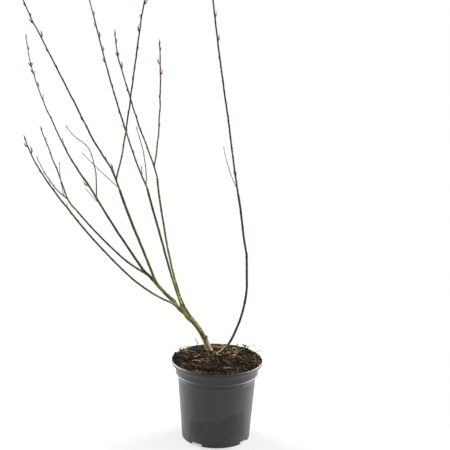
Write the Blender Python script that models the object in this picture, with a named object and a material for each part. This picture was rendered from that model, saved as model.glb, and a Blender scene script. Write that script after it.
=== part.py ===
# Potted pussy willow: a young shrub, bare of leaves, in a round nursery pot.
# Units are metres and degrees. The origin is the centre of the pot's underside and +Z is up.
# The crown leans to -X, and -Y is the front.

import math
import random

import bmesh
import bpy
from mathutils import Vector

# Clearance between neighbouring pieces
GAP = 0.0003

# Pot
POT_HEIGHT = 0.166
RIM_RADIUS = 0.095
RIM_BEAD = 0.0022            # radius of the rounded bead along the rim
RIM_DEPTH = 0.0060           # upright outer face of the rim, from its top
COLLAR_TOP = 0.1505
COLLAR_TOP_RADIUS = 0.0868
COLLAR_FOOT = 0.1385
COLLAR_FOOT_RADIUS = 0.0856
SHOULDER_DROP = 0.0040       # height of the step from the collar down to the body
BODY_TOP_RADIUS = 0.0816
BASE_RADIUS = 0.0710
POT_WALL = 0.0017
BASE_DISC_RADIUS = 0.049     # middle of the underside, which stands on the ground
BASE_CHANNEL = 0.0070        # height of the drain channel round that middle
FOOT_RING = 0.0032           # thickness of the ring that the pot stands on
CHANNEL_SLOPE = 0.0020
POT_SEGMENTS = 40

NOTCH_COUNT = 4
NOTCH_FIRST = -33.8          # turn of the first notch from the front, towards +X
NOTCH_WIDTH = 21.2           # angle that one notch takes
NOTCH_HEIGHT = 0.0053
NOTCH_REACH = 0.012          # how far a notch reaches in from the foot ring

# Soil
SOIL_TOP = 0.167
SOIL_FLAT_RADIUS = 0.060     # level middle, where the stems stand
SOIL_EDGE_FRONT = 0.1585
SOIL_EDGE_BACK = 0.1640
SOIL_EDGE_RADIUS = 0.0858
SOIL_SHOULDER_RINGS = 3

# Stems
STEM_STEP = 0.011            # length between two rings of a limb
SHOOT_STEP = 0.018           # the same on a shoot
LIMB_SIDES = 8
SLIM_LIMB = 0.006            # thickness under which a limb has as few sides as a shoot
SHOOT_SIDES = 6
FORK_LENGTH = 0.016          # end of a limb that widens to carry its two branches
FORK_SHARE = 0.6             # most of a short limb that this widening takes
FORK_MARGIN = 0.0003
ROOT_FLARE = 1.18            # widening of a stem at the soil
ROOT_FLARE_LENGTH = 0.012
TIP_THICKNESS = 0.0011

STUB_AT = 0.31               # place of the pruned stub along the trunk
STUB_LENGTH = 0.0100
STUB_THICKNESS = 0.0056
STUB_LEAN = -22
STUB_SWING = -14

# Each limb grows from the tip of the one it is on. thick is its thickness at foot and tip.
# leans says how far it leans left from upright, and swings how far it turns to the back,
# at even steps from foot to tip.
LIMBS = {
    "trunk": dict(foot=(-0.0160, 0.045), length=0.090, thick=(0.0122, 0.0106),
                  leans=(21, 24, 35, 46), swings=(-6, -4)),
    "limb_left": dict(on="trunk", length=0.027, thick=(0.0082, 0.0080), leans=(36,), swings=(-6, -8)),
    "limb_left_middle": dict(on="limb_left", length=0.020, thick=(0.0078, 0.0074),
                             leans=(39,), swings=(-8,)),
    "limb_left_upper": dict(on="limb_left_middle", length=0.065, thick=(0.0078, 0.0070),
                            leans=(50, 32), swings=(-8, -12)),
    "bough_low": dict(on="limb_left_middle", length=0.260, thick=(0.0038, 0.0032),
                      leans=(62.5, 51, 41.5, 39, 36.5), swings=(-22, -14)),
    "bough_mid_left": dict(on="limb_left_upper", length=0.221, thick=(0.0050, 0.0045),
                           leans=(17, 19.5, 16), swings=(-22, -16)),
    "limb_outer": dict(on="limb_left_upper", length=0.026, thick=(0.0056, 0.0052),
                       leans=(42, 58), swings=(6, 10)),
    "bough_left": dict(on="limb_outer", length=0.165, thick=(0.0047, 0.0041),
                       leans=(33, 32, 28.5), swings=(-6, -10)),
    "bough_outer": dict(on="limb_outer", length=0.216, thick=(0.0036, 0.0032),
                        leans=(71.5, 55, 50.5, 45), swings=(32, 22)),
    "bough_centre": dict(on="limb_left", length=0.263, thick=(0.0048, 0.0040),
                         leans=(20.5, 18.5, 17.5, 18.5, 16), swings=(4, 18, 14)),
    "bough_inner": dict(on="trunk", length=0.314, thick=(0.0050, 0.0040),
                        leans=(32, 16.5, 12, 8.5, 8.5, 4.5), swings=(-6, -12, -8)),
    "stem_right_lower": dict(foot=(0.0005, 0.031), length=0.142, thick=(0.0054, 0.0047),
                             leans=(-53.5, -23.5, -17, -9), swings=(-20, -12)),
    "stem_right_middle": dict(on="stem_right_lower", length=0.107, thick=(0.0047, 0.0043),
                              leans=(-9.5, 2.5, 2), swings=(-12, -6)),
    "stem_right_upper": dict(on="stem_right_middle", length=0.127, thick=(0.0043, 0.0039),
                             leans=(12, 7, 11.5), swings=(-4, 6)),
}

# Each mass is the twigs past the tip of one bough. Its first shoot carries the others, each of
# which leaves it, or another one, at a share of that one's length. buds are shares of a shoot's
# own length, minus for a bud on its left, and catkins are told the same way.
MASSES = {
    "twigs_left": dict(on="bough_left", seed=11, shoots={
        "leader": dict(length=0.365, thick=(0.0035, 0.0016), leans=(27, 33.5, 23.5, 22.5, 15, 4.5),
                       swings=(-12, -4), buds=(-0.135, 0.37, 0.55, 0.730, -0.807, 0.93),
                       catkins=(0.845, -0.847)),
        "side": dict(on="leader", at=0.05, length=0.171, thick=(0.0021, 0.0014),
                     leans=(-1.5, 7, 19, 61.5, 35.5), swings=(12, 22), buds=(), catkins=()),
        "fine": dict(on="leader", at=0.012, length=0.045, thick=(0.0016, 0.0012),
                     leans=(48, 34, 34), swings=(-30, -24), buds=(), catkins=()),
    }),
    "twigs_mid_left": dict(on="bough_mid_left", seed=23, shoots={
        "leader": dict(length=0.430, thick=(0.0038, 0.0022), leans=(13, 31.5, 23, 24.5, 24.5, 25, 12),
                       swings=(-18, -12),
                       buds=(0.16, -0.37, 0.62, -0.70, 0.760, -0.828, 0.858, -0.905, 0.935),
                       catkins=(0.965,)),
        "upright": dict(on="leader", at=0.048, length=0.386, thick=(0.0033, 0.0024),
                        leans=(-14.5, -7.5, -7.5, -7.5, -14), swings=(6, -2),
                        buds=(0.25, -0.51, 0.66, -0.745, 0.88, -0.94), catkins=(-0.812,)),
        "side": dict(on="leader", at=0.006, length=0.116, thick=(0.0018, 0.0012),
                     leans=(40, 38), swings=(-40, -32), buds=(), catkins=()),
        "stub": dict(on="leader", at=0.042, length=0.030, thick=(0.0024, 0.0019),
                     leans=(17,), swings=(2,), buds=(), catkins=()),
    }),
    "twigs_centre": dict(on="bough_centre", seed=37, shoots={
        "leader": dict(length=0.478, thick=(0.0035, 0.0022), leans=(27, 20, 19, 16, 15.5, 17),
                       swings=(14, 8),
                       buds=(0.17, -0.36, 0.48, -0.595, 0.645, 0.708, -0.760, 0.812, -0.90, 0.95),
                       catkins=(0.972,)),
        "side": dict(on="leader", at=0.012, length=0.131, thick=(0.0018, 0.0012),
                     leans=(-5, 9, 18), swings=(-18, -14), buds=(), catkins=()),
        "spur": dict(on="leader", at=0.055, length=0.022, thick=(0.0014, 0.0011),
                     leans=(7,), swings=(26,), buds=(), catkins=()),
    }),
    "twigs_inner": dict(on="bough_inner", seed=41, shoots={
        "leader": dict(length=0.300, thick=(0.0031, 0.0020), leans=(16.5, 23, 17.5, 19.5, 4.5),
                       swings=(2, 16), buds=(-0.20, 0.42, -0.60, 0.755, 0.93),
                       catkins=(0.845, -0.847)),
        "upright": dict(on="leader", at=0.075, length=0.252, thick=(0.0027, 0.0019),
                        leans=(-12, -4, -1.5, 2.5), swings=(-18, -14),
                        buds=(0.35, -0.58, 0.758, -0.838, 0.94), catkins=()),
    }),
    "twigs_outer": dict(on="bough_outer", seed=53, shoots={
        "leader": dict(length=0.196, thick=(0.0031, 0.0017), leans=(50.5, 19.5, 24.5, 22, 26),
                       swings=(16, 10), buds=(-0.33, 0.52, -0.70), catkins=(0.86,)),
        "side": dict(on="leader", at=0.15, length=0.135, thick=(0.0024, 0.0013),
                     leans=(65, 42, 31), swings=(34, 28), buds=(0.38, -0.68), catkins=()),
        "fine": dict(on="side", at=0.10, length=0.075, thick=(0.0016, 0.0012),
                     leans=(13, -1), swings=(-4, -8), buds=(), catkins=()),
    }),
    "twigs_low": dict(on="bough_low", seed=67, shoots={
        "leader": dict(length=0.213, thick=(0.0032, 0.0017), leans=(34, 34.5, 28.5, 15.5),
                       swings=(-18, -10), buds=(0.086, -0.178, 0.45, -0.66, 0.85, -0.915),
                       catkins=()),
    }),
    "twigs_right": dict(on="stem_right_upper", seed=79, shoots={
        "leader": dict(length=0.457, thick=(0.0038, 0.0026), leans=(10, 8, 9.5, 8.5, 7.5, 8.5),
                       swings=(8, 2),
                       buds=(0.08, -0.085, 0.33, -0.585, 0.66, 0.76, -0.84, 0.90, -0.95),
                       catkins=(0.975,)),
        "side": dict(on="leader", at=0.012, length=0.097, thick=(0.0018, 0.0012),
                     leans=(26, 11), swings=(-24, -16), buds=(), catkins=()),
    }),
}

# Growth rule of the shoots
NODE_SPACING = 0.024         # length between two nodes, where a shoot turns a little
NODE_KINK = (0.0002, 0.0007)
SPUR_CHANCE = 0.16           # chance that a node carries a short spur
SPUR_LENGTH = (0.007, 0.013)
SPUR_THICKNESS = 0.0013
SPUR_OPENING = 38            # angle between a spur and its shoot
SPUR_ROLL = 29               # most that a spur turns from the front or the back
LIMB_CLEARANCE = 0.002

BUD_LENGTH = 0.0098
BUD_THICKNESS = 0.0034
BUD_SCALE = (0.80, 1.15)
BUD_OPENING = 19             # angle between a bud and its shoot
BUD_ROLL = 35                # most that a bud turns round its shoot from the side
BUD_OUTLINE = ((0.20, 0.80), (0.50, 1.0))
BUD_SIDES = 5
TIP_BUD_SCALE = 0.80
TIP_BUD_SHOOT = 0.0015       # tip thickness of a shoot whose tip bud has this scale
CATKIN_LENGTH = 0.0105
CATKIN_THICKNESS = 0.0060
CATKIN_OPENING = 33
CATKIN_ROLL = 23
CATKIN_OUTLINE = ((0.14, 0.66), (0.45, 1.0), (0.80, 0.70))
CATKIN_SIDES = 6

SHARP_ANGLE = 40

POT_COLOUR = (0.065, 0.065, 0.066)
SOIL_COLOUR = (0.050, 0.033, 0.022)
TRUNK_COLOUR = (0.16, 0.12, 0.06)
BOUGH_COLOUR = (0.075, 0.062, 0.034)
TWIG_COLOUR = (0.085, 0.060, 0.042)


def clear_scene():
    for item in list(bpy.data.objects):
        bpy.data.objects.remove(item, do_unlink=True)


def make_material(name, colour, roughness):
    material = bpy.data.materials.new(name)
    material.use_nodes = True
    shader = material.node_tree.nodes["Principled BSDF"]
    shader.inputs["Base Color"].default_value = (*colour, 1.0)
    shader.inputs["Roughness"].default_value = roughness
    shader.inputs["Metallic"].default_value = 0.0
    return material


def add_object(name, bm, material=None):
    mesh = bpy.data.meshes.new(name)
    bmesh.ops.recalc_face_normals(bm, faces=bm.faces)
    bm.to_mesh(mesh)
    bm.free()
    mesh.shade_smooth()
    mesh.set_sharp_from_angle(angle=math.radians(SHARP_ANGLE))
    if material:
        mesh.materials.append(material)
    item = bpy.data.objects.new(name, mesh)
    bpy.context.scene.collection.objects.link(item)
    return item


def apply_boolean(item, operation, tools):
    """Cut or join the tools, then drop them."""
    holder = bpy.data.collections.new(item.name + "_tools")
    for tool in tools:
        bpy.context.scene.collection.objects.unlink(tool)
        holder.objects.link(tool)
    bpy.context.scene.collection.children.link(holder)
    modifier = item.modifiers.new("join", "BOOLEAN")
    modifier.operation = operation
    modifier.operand_type = "COLLECTION"
    modifier.collection = holder
    modifier.solver = "EXACT"
    bpy.context.view_layer.update()
    evaluated = item.evaluated_get(bpy.context.evaluated_depsgraph_get())
    mesh = bpy.data.meshes.new_from_object(evaluated)
    item.modifiers.clear()
    item.data = mesh
    for tool in list(holder.objects):
        bpy.data.objects.remove(tool, do_unlink=True)
    bpy.data.collections.remove(holder)


def arc(centre_radius, centre_height, radius, start, end, steps):
    """Points of a round stretch of a turned outline."""
    points = []
    for i in range(steps + 1):
        angle = math.radians(start + (end - start) * i / steps)
        points.append((centre_radius + radius * math.cos(angle), centre_height + radius * math.sin(angle)))
    return points


def pot_outline():
    """Half section of the pot, from the middle of its underside round to the inside."""
    body_top = COLLAR_FOOT - SHOULDER_DROP
    bead_centre = RIM_RADIUS - RIM_BEAD
    rim_foot = POT_HEIGHT - RIM_DEPTH
    underside = [
        (0.0, 0.0),
        (BASE_DISC_RADIUS, 0.0),
        (BASE_DISC_RADIUS + CHANNEL_SLOPE, BASE_CHANNEL),
        (BASE_RADIUS - FOOT_RING, BASE_CHANNEL),
        (BASE_RADIUS - FOOT_RING, 0.0),
        (BASE_RADIUS, 0.0),
    ]
    outside = [
        (BODY_TOP_RADIUS, body_top),
        (COLLAR_FOOT_RADIUS, COLLAR_FOOT),
        (COLLAR_TOP_RADIUS, COLLAR_TOP),
        (RIM_RADIUS, rim_foot),
    ]
    bead = arc(bead_centre, POT_HEIGHT - RIM_BEAD, RIM_BEAD, 0, 180, 4)
    inside = [
        (bead_centre - RIM_BEAD, rim_foot + POT_WALL),
        (COLLAR_TOP_RADIUS - POT_WALL, COLLAR_TOP + POT_WALL),
        (COLLAR_FOOT_RADIUS - POT_WALL, COLLAR_FOOT + POT_WALL / 2),
        (BODY_TOP_RADIUS - POT_WALL, body_top + POT_WALL / 2),
        (BASE_RADIUS - POT_WALL, BASE_CHANNEL + POT_WALL),
        (BASE_DISC_RADIUS + CHANNEL_SLOPE - POT_WALL, BASE_CHANNEL + POT_WALL),
        (BASE_DISC_RADIUS - POT_WALL, POT_WALL),
        (0.0, POT_WALL),
    ]
    return underside + outside + bead + inside


def turn_outline(outline, segments):
    """Spin an outline of radius and height round the upright axis."""
    bm = bmesh.new()
    verts = [bm.verts.new((radius, 0.0, height)) for radius, height in outline]
    edges = [bm.edges.new(pair) for pair in zip(verts, verts[1:])]
    bmesh.ops.spin(bm, geom=verts + edges, cent=(0, 0, 0), axis=(0, 0, 1), angle=math.tau,
                   steps=segments, use_merge=True)
    bmesh.ops.remove_doubles(bm, verts=bm.verts, dist=0.00001)
    return bm


def notch_cutter(turn):
    """Wedge that opens the foot ring over the angle of one notch."""
    inner = BASE_RADIUS - NOTCH_REACH
    outer = BASE_RADIUS + NOTCH_REACH
    half = math.radians(NOTCH_WIDTH / 2)
    middle = math.radians(turn)
    bm = bmesh.new()
    corners = []
    for radius, side in ((inner, -half), (outer, -half), (outer, half), (inner, half)):
        corners.append(bm.verts.new((radius * math.sin(middle + side), -radius * math.cos(middle + side),
                                     -NOTCH_HEIGHT)))
    floor = bm.faces.new(corners)
    lifted = bmesh.ops.extrude_face_region(bm, geom=[floor])["geom"]
    top = [vert for vert in lifted if isinstance(vert, bmesh.types.BMVert)]
    bmesh.ops.translate(bm, verts=top, vec=(0, 0, 2 * NOTCH_HEIGHT))
    return add_object("notch", bm)


def make_pot():
    pot = add_object("pot", turn_outline(pot_outline(), POT_SEGMENTS),
                     make_material("pot_plastic", POT_COLOUR, 0.5))
    notches = [notch_cutter(NOTCH_FIRST + 360 * i / NOTCH_COUNT) for i in range(NOTCH_COUNT)]
    apply_boolean(pot, "DIFFERENCE", notches)


def soil_outline():
    """Half section of the soil inside the pot, its edge at the level of the front."""
    body_top = COLLAR_FOOT - SHOULDER_DROP
    reach = POT_WALL + GAP
    outline = [
        (0.0, POT_WALL + GAP),
        (BASE_DISC_RADIUS - reach - GAP, POT_WALL + GAP),
        (BASE_DISC_RADIUS + CHANNEL_SLOPE - reach - GAP, BASE_CHANNEL + reach),
        (BASE_RADIUS - reach - GAP / 2, BASE_CHANNEL + reach),
        (BODY_TOP_RADIUS - reach, body_top + reach / 2),
        (COLLAR_FOOT_RADIUS - reach - GAP, COLLAR_FOOT + reach),
        (COLLAR_TOP_RADIUS - reach - GAP, COLLAR_TOP),
        (SOIL_EDGE_RADIUS, SOIL_EDGE_FRONT),
    ]
    for i in range(1, SOIL_SHOULDER_RINGS + 1):
        share = i / SOIL_SHOULDER_RINGS
        outline.append((SOIL_EDGE_RADIUS + (SOIL_FLAT_RADIUS - SOIL_EDGE_RADIUS) * share,
                        SOIL_EDGE_FRONT + (SOIL_TOP - SOIL_EDGE_FRONT) * math.sin(share * math.pi / 2)))
    outline.append((0.0, SOIL_TOP))
    return outline


def make_soil():
    bm = turn_outline(soil_outline(), POT_SEGMENTS)
    for vert in bm.verts:
        radius = math.hypot(vert.co.x, vert.co.y)
        if vert.co.z >= SOIL_EDGE_FRONT - GAP and radius > SOIL_FLAT_RADIUS:
            share = (SOIL_TOP - vert.co.z) / (SOIL_TOP - SOIL_EDGE_FRONT)
            back = 0.5 + 0.5 * vert.co.y / radius
            vert.co.z += share * back * (SOIL_EDGE_BACK - SOIL_EDGE_FRONT)
    add_object("soil", bm, make_material("compost", SOIL_COLOUR, 0.95))


def heading(lean, swing):
    """Direction of growth for a lean to the left and a swing to the back."""
    lean, swing = math.radians(lean), math.radians(swing)
    return Vector((-math.sin(lean) * math.cos(swing), math.sin(swing), math.cos(lean) * math.cos(swing)))


def between(values, share):
    """Value at a share of the way through values that are evenly spread."""
    place = share * (len(values) - 1)
    low = min(int(place), len(values) - 1)
    high = min(low + 1, len(values) - 1)
    return values[low] + (values[high] - values[low]) * (place - low)


def stem_path(start, size, step):
    """Points along a stem that leans and swings as its sizes say."""
    count = max(3, round(size["length"] / step))
    points = [start.copy()]
    for i in range(count):
        share = (i + 0.5) / count
        way = heading(between(size["leans"], share), between(size["swings"], share))
        points.append(points[-1] + way * size["length"] / count)
    return points


def first_way(size):
    return heading(size["leans"][0], size["swings"][0])


def last_way(size):
    return heading(size["leans"][-1], size["swings"][-1])


def path_point(points, share):
    place = share * (len(points) - 1)
    low = min(int(place), len(points) - 2)
    return points[low].lerp(points[low + 1], place - low)


def path_way(points, share):
    low = min(int(share * (len(points) - 1)), len(points) - 2)
    return (points[low + 1] - points[low]).normalized()


def ring_offsets(way, radius, sides):
    """Corners of a ring square to a way, starting at the back."""
    back = Vector((0, 1, 0))
    first = (back - way * way.dot(back)).normalized()
    second = way.cross(first)
    turns = [math.tau * k / sides for k in range(sides)]
    return [(first * math.cos(turn) + second * math.sin(turn)) * radius for turn in turns]


def skin_rings(bm, rings, tip=None):
    """Close a row of rings with a floor, and with a tip or a flat top."""
    loops = [[bm.verts.new(point) for point in ring] for ring in rings]
    sides = len(loops[0])
    for low, high in zip(loops, loops[1:]):
        for k in range(sides):
            bm.faces.new((low[k], low[(k + 1) % sides], high[(k + 1) % sides], high[k]))
    bm.faces.new(list(reversed(loops[0])))
    if tip is None:
        bm.faces.new(loops[-1])
        return
    point = bm.verts.new(tip)
    for k in range(sides):
        bm.faces.new((loops[-1][k], loops[-1][(k + 1) % sides], point))


def smooth_step(share):
    share = min(1.0, max(0.0, share))
    return share * share * (3 - 2 * share)


def limb_rings(points, size, foot_way, spread):
    """Rings of a limb. spread widens its end, so that it carries the two branches of a fork."""
    length = size["length"]
    sides = LIMB_SIDES if size["thick"][0] > SLIM_LIMB else SHOOT_SIDES
    rings = []
    for i, point in enumerate(points):
        share = i / (len(points) - 1)
        way = foot_way if i == 0 else path_way(points, min(share, 0.999))
        if i == len(points) - 1:
            way = last_way(size)
        radius = between(size["thick"], share) / 2
        if "foot" in size:
            radius *= 1 + (ROOT_FLARE - 1) * smooth_step(1 - share * length / ROOT_FLARE_LENGTH)
        offsets = ring_offsets(way, radius, sides)
        if spread:
            side, half_width, half_depth = spread
            reached = smooth_step(1 - (1 - share) * length / min(FORK_LENGTH, length * FORK_SHARE))
            across = 1 + (half_width / radius - 1) * reached
            deep = 1 + (max(half_depth / radius, 1.0) - 1) * reached
            offsets = [(offset - side * offset.dot(side)) * deep + side * offset.dot(side) * across
                       for offset in offsets]
        rings.append([point + offset for offset in offsets])
    return rings


def fork_feet(points, size, branches):
    """Feet of the branches side by side on a limb's cut tip, and how wide that tip has to be."""
    way = last_way(size)
    seat = points[-1] + way * GAP
    if len(branches) == 1:
        return [seat], None
    side = first_way(LIMBS[branches[1]]) - first_way(LIMBS[branches[0]])
    side = (side - way * side.dot(way)).normalized()
    radii = [LIMBS[branch]["thick"][0] / 2 for branch in branches]
    half_width = radii[0] + radii[1] + GAP / 2
    feet = [seat - side * (half_width - radii[0]), seat + side * (half_width - radii[1])]
    return feet, (side, half_width + FORK_MARGIN, max(radii) + FORK_MARGIN)


def lay_out_limbs():
    """Path, foot and fork of every limb, from the ground up."""
    starts = {}
    layout = {}
    up = Vector((0, 0, 1))
    for name, size in LIMBS.items():
        if "foot" in size:
            starts[name] = (Vector((*size["foot"], SOIL_TOP + GAP)), up)
        start, foot_way = starts[name]
        points = stem_path(start, size, STEM_STEP)
        branches = [other for other, its in LIMBS.items() if its.get("on") == name]
        spread = None
        if branches:
            feet, spread = fork_feet(points, size, branches)
            for branch, foot in zip(branches, feet):
                starts[branch] = (foot, last_way(size))
        layout[name] = dict(points=points, foot_way=foot_way, spread=spread)
    return layout


def stub_tool(points):
    """Short pruned stub on the side of the trunk."""
    start = path_point(points, STUB_AT)
    way = heading(STUB_LEAN, STUB_SWING)
    bm = bmesh.new()
    ends = (start, start + way * STUB_LENGTH)
    skin_rings(bm, [[end + offset for offset in ring_offsets(way, STUB_THICKNESS / 2, SHOOT_SIDES)]
                    for end in ends])
    return add_object("stub", bm)


def make_limbs(layout):
    trunk_bark = make_material("trunk_bark", TRUNK_COLOUR, 0.8)
    bough_bark = make_material("bough_bark", BOUGH_COLOUR, 0.65)
    for name, place in layout.items():
        bm = bmesh.new()
        skin_rings(bm, limb_rings(place["points"], LIMBS[name], place["foot_way"], place["spread"]))
        limb = add_object(name, bm, trunk_bark if LIMBS[name]["thick"][0] > SLIM_LIMB else bough_bark)
        if name == "trunk":
            apply_boolean(limb, "UNION", [stub_tool(place["points"])])


def clear_of_limbs(point, layout, carrier):
    """Whether a point keeps away from every limb but the one that carries its mass."""
    for name, place in layout.items():
        if name == carrier:
            continue
        reach = LIMBS[name]["thick"][0] / 2 + LIMB_CLEARANCE
        for low, high in zip(place["points"], place["points"][1:]):
            along = high - low
            share = min(1.0, max(0.0, (point - low).dot(along) / along.length_squared))
            if (low + along * share - point).length < reach:
                return False
    return True


def kink_path(points, length, rng):
    """Turn a shoot a little at each of its nodes, to one side and the other."""
    nodes = max(2, round(length / NODE_SPACING))
    sizes = [rng.uniform(*NODE_KINK) * (-1) ** k for k in range(nodes + 1)]
    sizes[0] = 0.0
    roll = rng.uniform(0, math.tau)
    sideways = Vector((math.cos(roll), math.sin(roll), 0))
    last = len(points) - 1
    return [point + sideways * between(sizes, i / last) for i, point in enumerate(points)]


def shoot_tube(name, points, size, foot_way):
    """Tapering tube of one shoot, ended by a short point."""
    rings = []
    last = len(points) - 1
    for i, point in enumerate(points):
        share = i / last
        way = foot_way if i == 0 else path_way(points, min(share, 0.999))
        radius = between(size["thick"], share) / 2
        rings.append([point + offset for offset in ring_offsets(way, radius, SHOOT_SIDES)])
    bm = bmesh.new()
    skin_rings(bm, rings, points[-1] + path_way(points, 1.0) * TIP_THICKNESS)
    return add_object(name, bm)


def opened(way, roll, opening):
    """Way turned outwards by an opening angle, at a roll round the shoot from its right."""
    right = Vector((1, 0, 0))
    right = (right - way * way.dot(right)).normalized()
    back = way.cross(right)
    outward = right * math.cos(roll) + back * math.sin(roll)
    return (way * math.cos(math.radians(opening)) + outward * math.sin(math.radians(opening))).normalized()


def side_roll(place, spread, rng):
    """Roll of a bud or catkin to the right of its shoot, or to the left where its place is minus."""
    return (0 if place > 0 else math.pi) + math.radians(rng.uniform(-spread, spread))


def swelling(name, start, way, length, thickness, outline, sides):
    """Bud or catkin: a closed form round its own axis, pointed at both ends."""
    rings = []
    for share, width in outline:
        centre = start + way * length * share
        rings.append([centre + offset for offset in ring_offsets(way, thickness / 2 * width, sides)])
    bm = bmesh.new()
    loops = [[bm.verts.new(point) for point in ring] for ring in rings]
    for low, high in zip(loops, loops[1:]):
        for k in range(sides):
            bm.faces.new((low[k], low[(k + 1) % sides], high[(k + 1) % sides], high[k]))
    for loop, end in ((loops[0], start), (loops[-1], start + way * length)):
        point = bm.verts.new(end)
        for k in range(sides):
            bm.faces.new((loop[k], loop[(k + 1) % sides], point))
    return add_object(name, bm)


def shoot_extras(points, size, rng, is_clear):
    """Buds, catkins and seeded spurs of one shoot, each sunk into it."""
    extras = []
    for place in size["buds"]:
        share = abs(place)
        roll = side_roll(place, BUD_ROLL, rng)
        scale = rng.uniform(*BUD_SCALE)
        way = opened(path_way(points, share), roll, BUD_OPENING)
        start = path_point(points, share)
        if is_clear(start + way * BUD_LENGTH):
            extras.append(swelling("bud", start, way, BUD_LENGTH * scale, BUD_THICKNESS * scale,
                                   BUD_OUTLINE, BUD_SIDES))
    for place in size["catkins"]:
        share = abs(place)
        way = opened(path_way(points, share), side_roll(place, CATKIN_ROLL, rng), CATKIN_OPENING)
        extras.append(swelling("catkin", path_point(points, share), way, CATKIN_LENGTH,
                               CATKIN_THICKNESS, CATKIN_OUTLINE, CATKIN_SIDES))
    for node in range(2, round(size["length"] / NODE_SPACING) - 1):
        chance = rng.random()
        roll = rng.choice((-1, 1)) * math.pi / 2 + math.radians(rng.uniform(-SPUR_ROLL, SPUR_ROLL))
        length = rng.uniform(*SPUR_LENGTH)
        if chance > SPUR_CHANCE:
            continue
        share = node * NODE_SPACING / size["length"]
        start = path_point(points, share)
        way = opened(path_way(points, share), roll, SPUR_OPENING)
        if is_clear(start + way * length):
            spur = dict(length=length, thick=(SPUR_THICKNESS, TIP_THICKNESS))
            extras.append(shoot_tube("spur", [start, start + way * length], spur, way))
    tip_way = path_way(points, 1.0)
    scale = TIP_BUD_SCALE * size["thick"][1] / TIP_BUD_SHOOT
    extras.append(swelling("tip_bud", points[-1] - tip_way * BUD_LENGTH * scale / 2, tip_way,
                           BUD_LENGTH * scale, BUD_THICKNESS * scale, BUD_OUTLINE, BUD_SIDES))
    return extras


def make_masses(layout):
    bark = make_material("twig_bark", TWIG_COLOUR, 0.6)
    for name, mass in MASSES.items():
        carrier = mass["on"]
        carrier_way = last_way(LIMBS[carrier])
        rng = random.Random(mass["seed"])

        def is_clear(point):
            return clear_of_limbs(point, layout, carrier)

        paths = {}
        tools = []
        for shoot, size in mass["shoots"].items():
            if "on" in size:
                start, foot_way = path_point(paths[size["on"]], size["at"]), first_way(size)
            else:
                start, foot_way = layout[carrier]["points"][-1] + carrier_way * GAP, carrier_way
            points = kink_path(stem_path(start, size, SHOOT_STEP), size["length"], rng)
            paths[shoot] = points
            tools.append(shoot_tube(shoot, points, size, foot_way))
            tools.extend(shoot_extras(points, size, rng, is_clear))
        twigs = tools.pop(0)
        twigs.name = name
        twigs.data.materials.append(bark)
        apply_boolean(twigs, "UNION", tools)


clear_scene()
make_pot()
make_soil()
limb_layout = lay_out_limbs()
make_limbs(limb_layout)
make_masses(limb_layout)
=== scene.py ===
import math
import random

import bpy
import numpy as np
from mathutils import Matrix, Vector, noise
from mathutils.kdtree import KDTree


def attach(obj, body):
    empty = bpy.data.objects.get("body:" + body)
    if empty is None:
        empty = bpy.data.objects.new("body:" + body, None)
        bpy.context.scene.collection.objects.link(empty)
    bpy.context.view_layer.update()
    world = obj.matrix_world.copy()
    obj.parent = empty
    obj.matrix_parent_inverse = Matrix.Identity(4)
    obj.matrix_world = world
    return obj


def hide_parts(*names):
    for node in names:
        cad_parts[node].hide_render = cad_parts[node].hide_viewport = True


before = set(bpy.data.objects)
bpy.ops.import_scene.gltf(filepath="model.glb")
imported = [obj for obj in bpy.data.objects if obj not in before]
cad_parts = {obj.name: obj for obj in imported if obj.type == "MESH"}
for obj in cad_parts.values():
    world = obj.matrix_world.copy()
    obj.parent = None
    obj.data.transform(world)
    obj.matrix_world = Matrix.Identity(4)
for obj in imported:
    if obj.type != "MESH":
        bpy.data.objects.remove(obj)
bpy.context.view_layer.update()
print("frame loaded:", len(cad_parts), "nodes")

up = Vector((0, 0, 1))
noise.seed_set(29)              # or else noise_vector would differ from run to run


# camera, light and floor

view = dict(
    place=(0.0105, -1.8, 0.789),
    pitch=-10.63,               # tilt from level
    roll=1.21,
    lens=72.24,
    sensor=36.0,
)

studio = dict(
    sky=0.42,                   # strength of the light tent all round
    backdrop=1.0,               # what the camera sees behind the plant
    floorColour=0.25,
    floorGlow=0.62,             # the pale floor is lit from below, as a light table is
    sheetGlow=0.452,            # so is the sheet that the pot stands on
    floorSize=9.0,
    sheetSize=1.1,
    sheetEdge=0.193,            # where the sheet ends behind the pot
    lamps=(                     # place, width, watts
        ((-1.75, 0.85, 0.85), 2.2, 163.0),
        ((1.80, 0.75, 0.85), 2.2, 178.0),
        ((0.7, -1.9, 2.3), 1.5, 9.0),
    ),
    aim=(-0.03, 0.0, 0.22),
)


def addCamera():
    pitch, roll = math.radians(view["pitch"]), math.radians(view["roll"])
    ahead = Vector((0, math.cos(pitch), math.sin(pitch)))
    level, lifted = Vector((1, 0, 0)), Vector((0, -math.sin(pitch), math.cos(pitch)))
    right = level * math.cos(roll) + lifted * math.sin(roll)
    above = lifted * math.cos(roll) - level * math.sin(roll)
    turned = Matrix((right, above, -ahead)).transposed()
    bpy.ops.object.camera_add(location=view["place"], rotation=turned.to_euler())
    camera = bpy.context.object
    camera.data.lens = view["lens"]
    camera.data.sensor_width = view["sensor"]
    camera.data.clip_start = 0.05
    bpy.context.scene.camera = camera


# shader helpers

class Flow:                     # a socket's value that takes part in sums
    def __init__(self, finish, socket):
        self.finish, self.socket = finish, socket

    def __add__(self, other):
        return self.finish.maths("ADD", self, other)

    def __sub__(self, other):
        return self.finish.maths("SUBTRACT", self, other)

    def __rsub__(self, other):
        return self.finish.maths("SUBTRACT", other, self)

    def __mul__(self, other):
        return self.finish.maths("MULTIPLY", self, other)

    def __pow__(self, other):
        return self.finish.maths("POWER", self, other)

    __radd__, __rmul__ = __add__, __mul__


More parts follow.
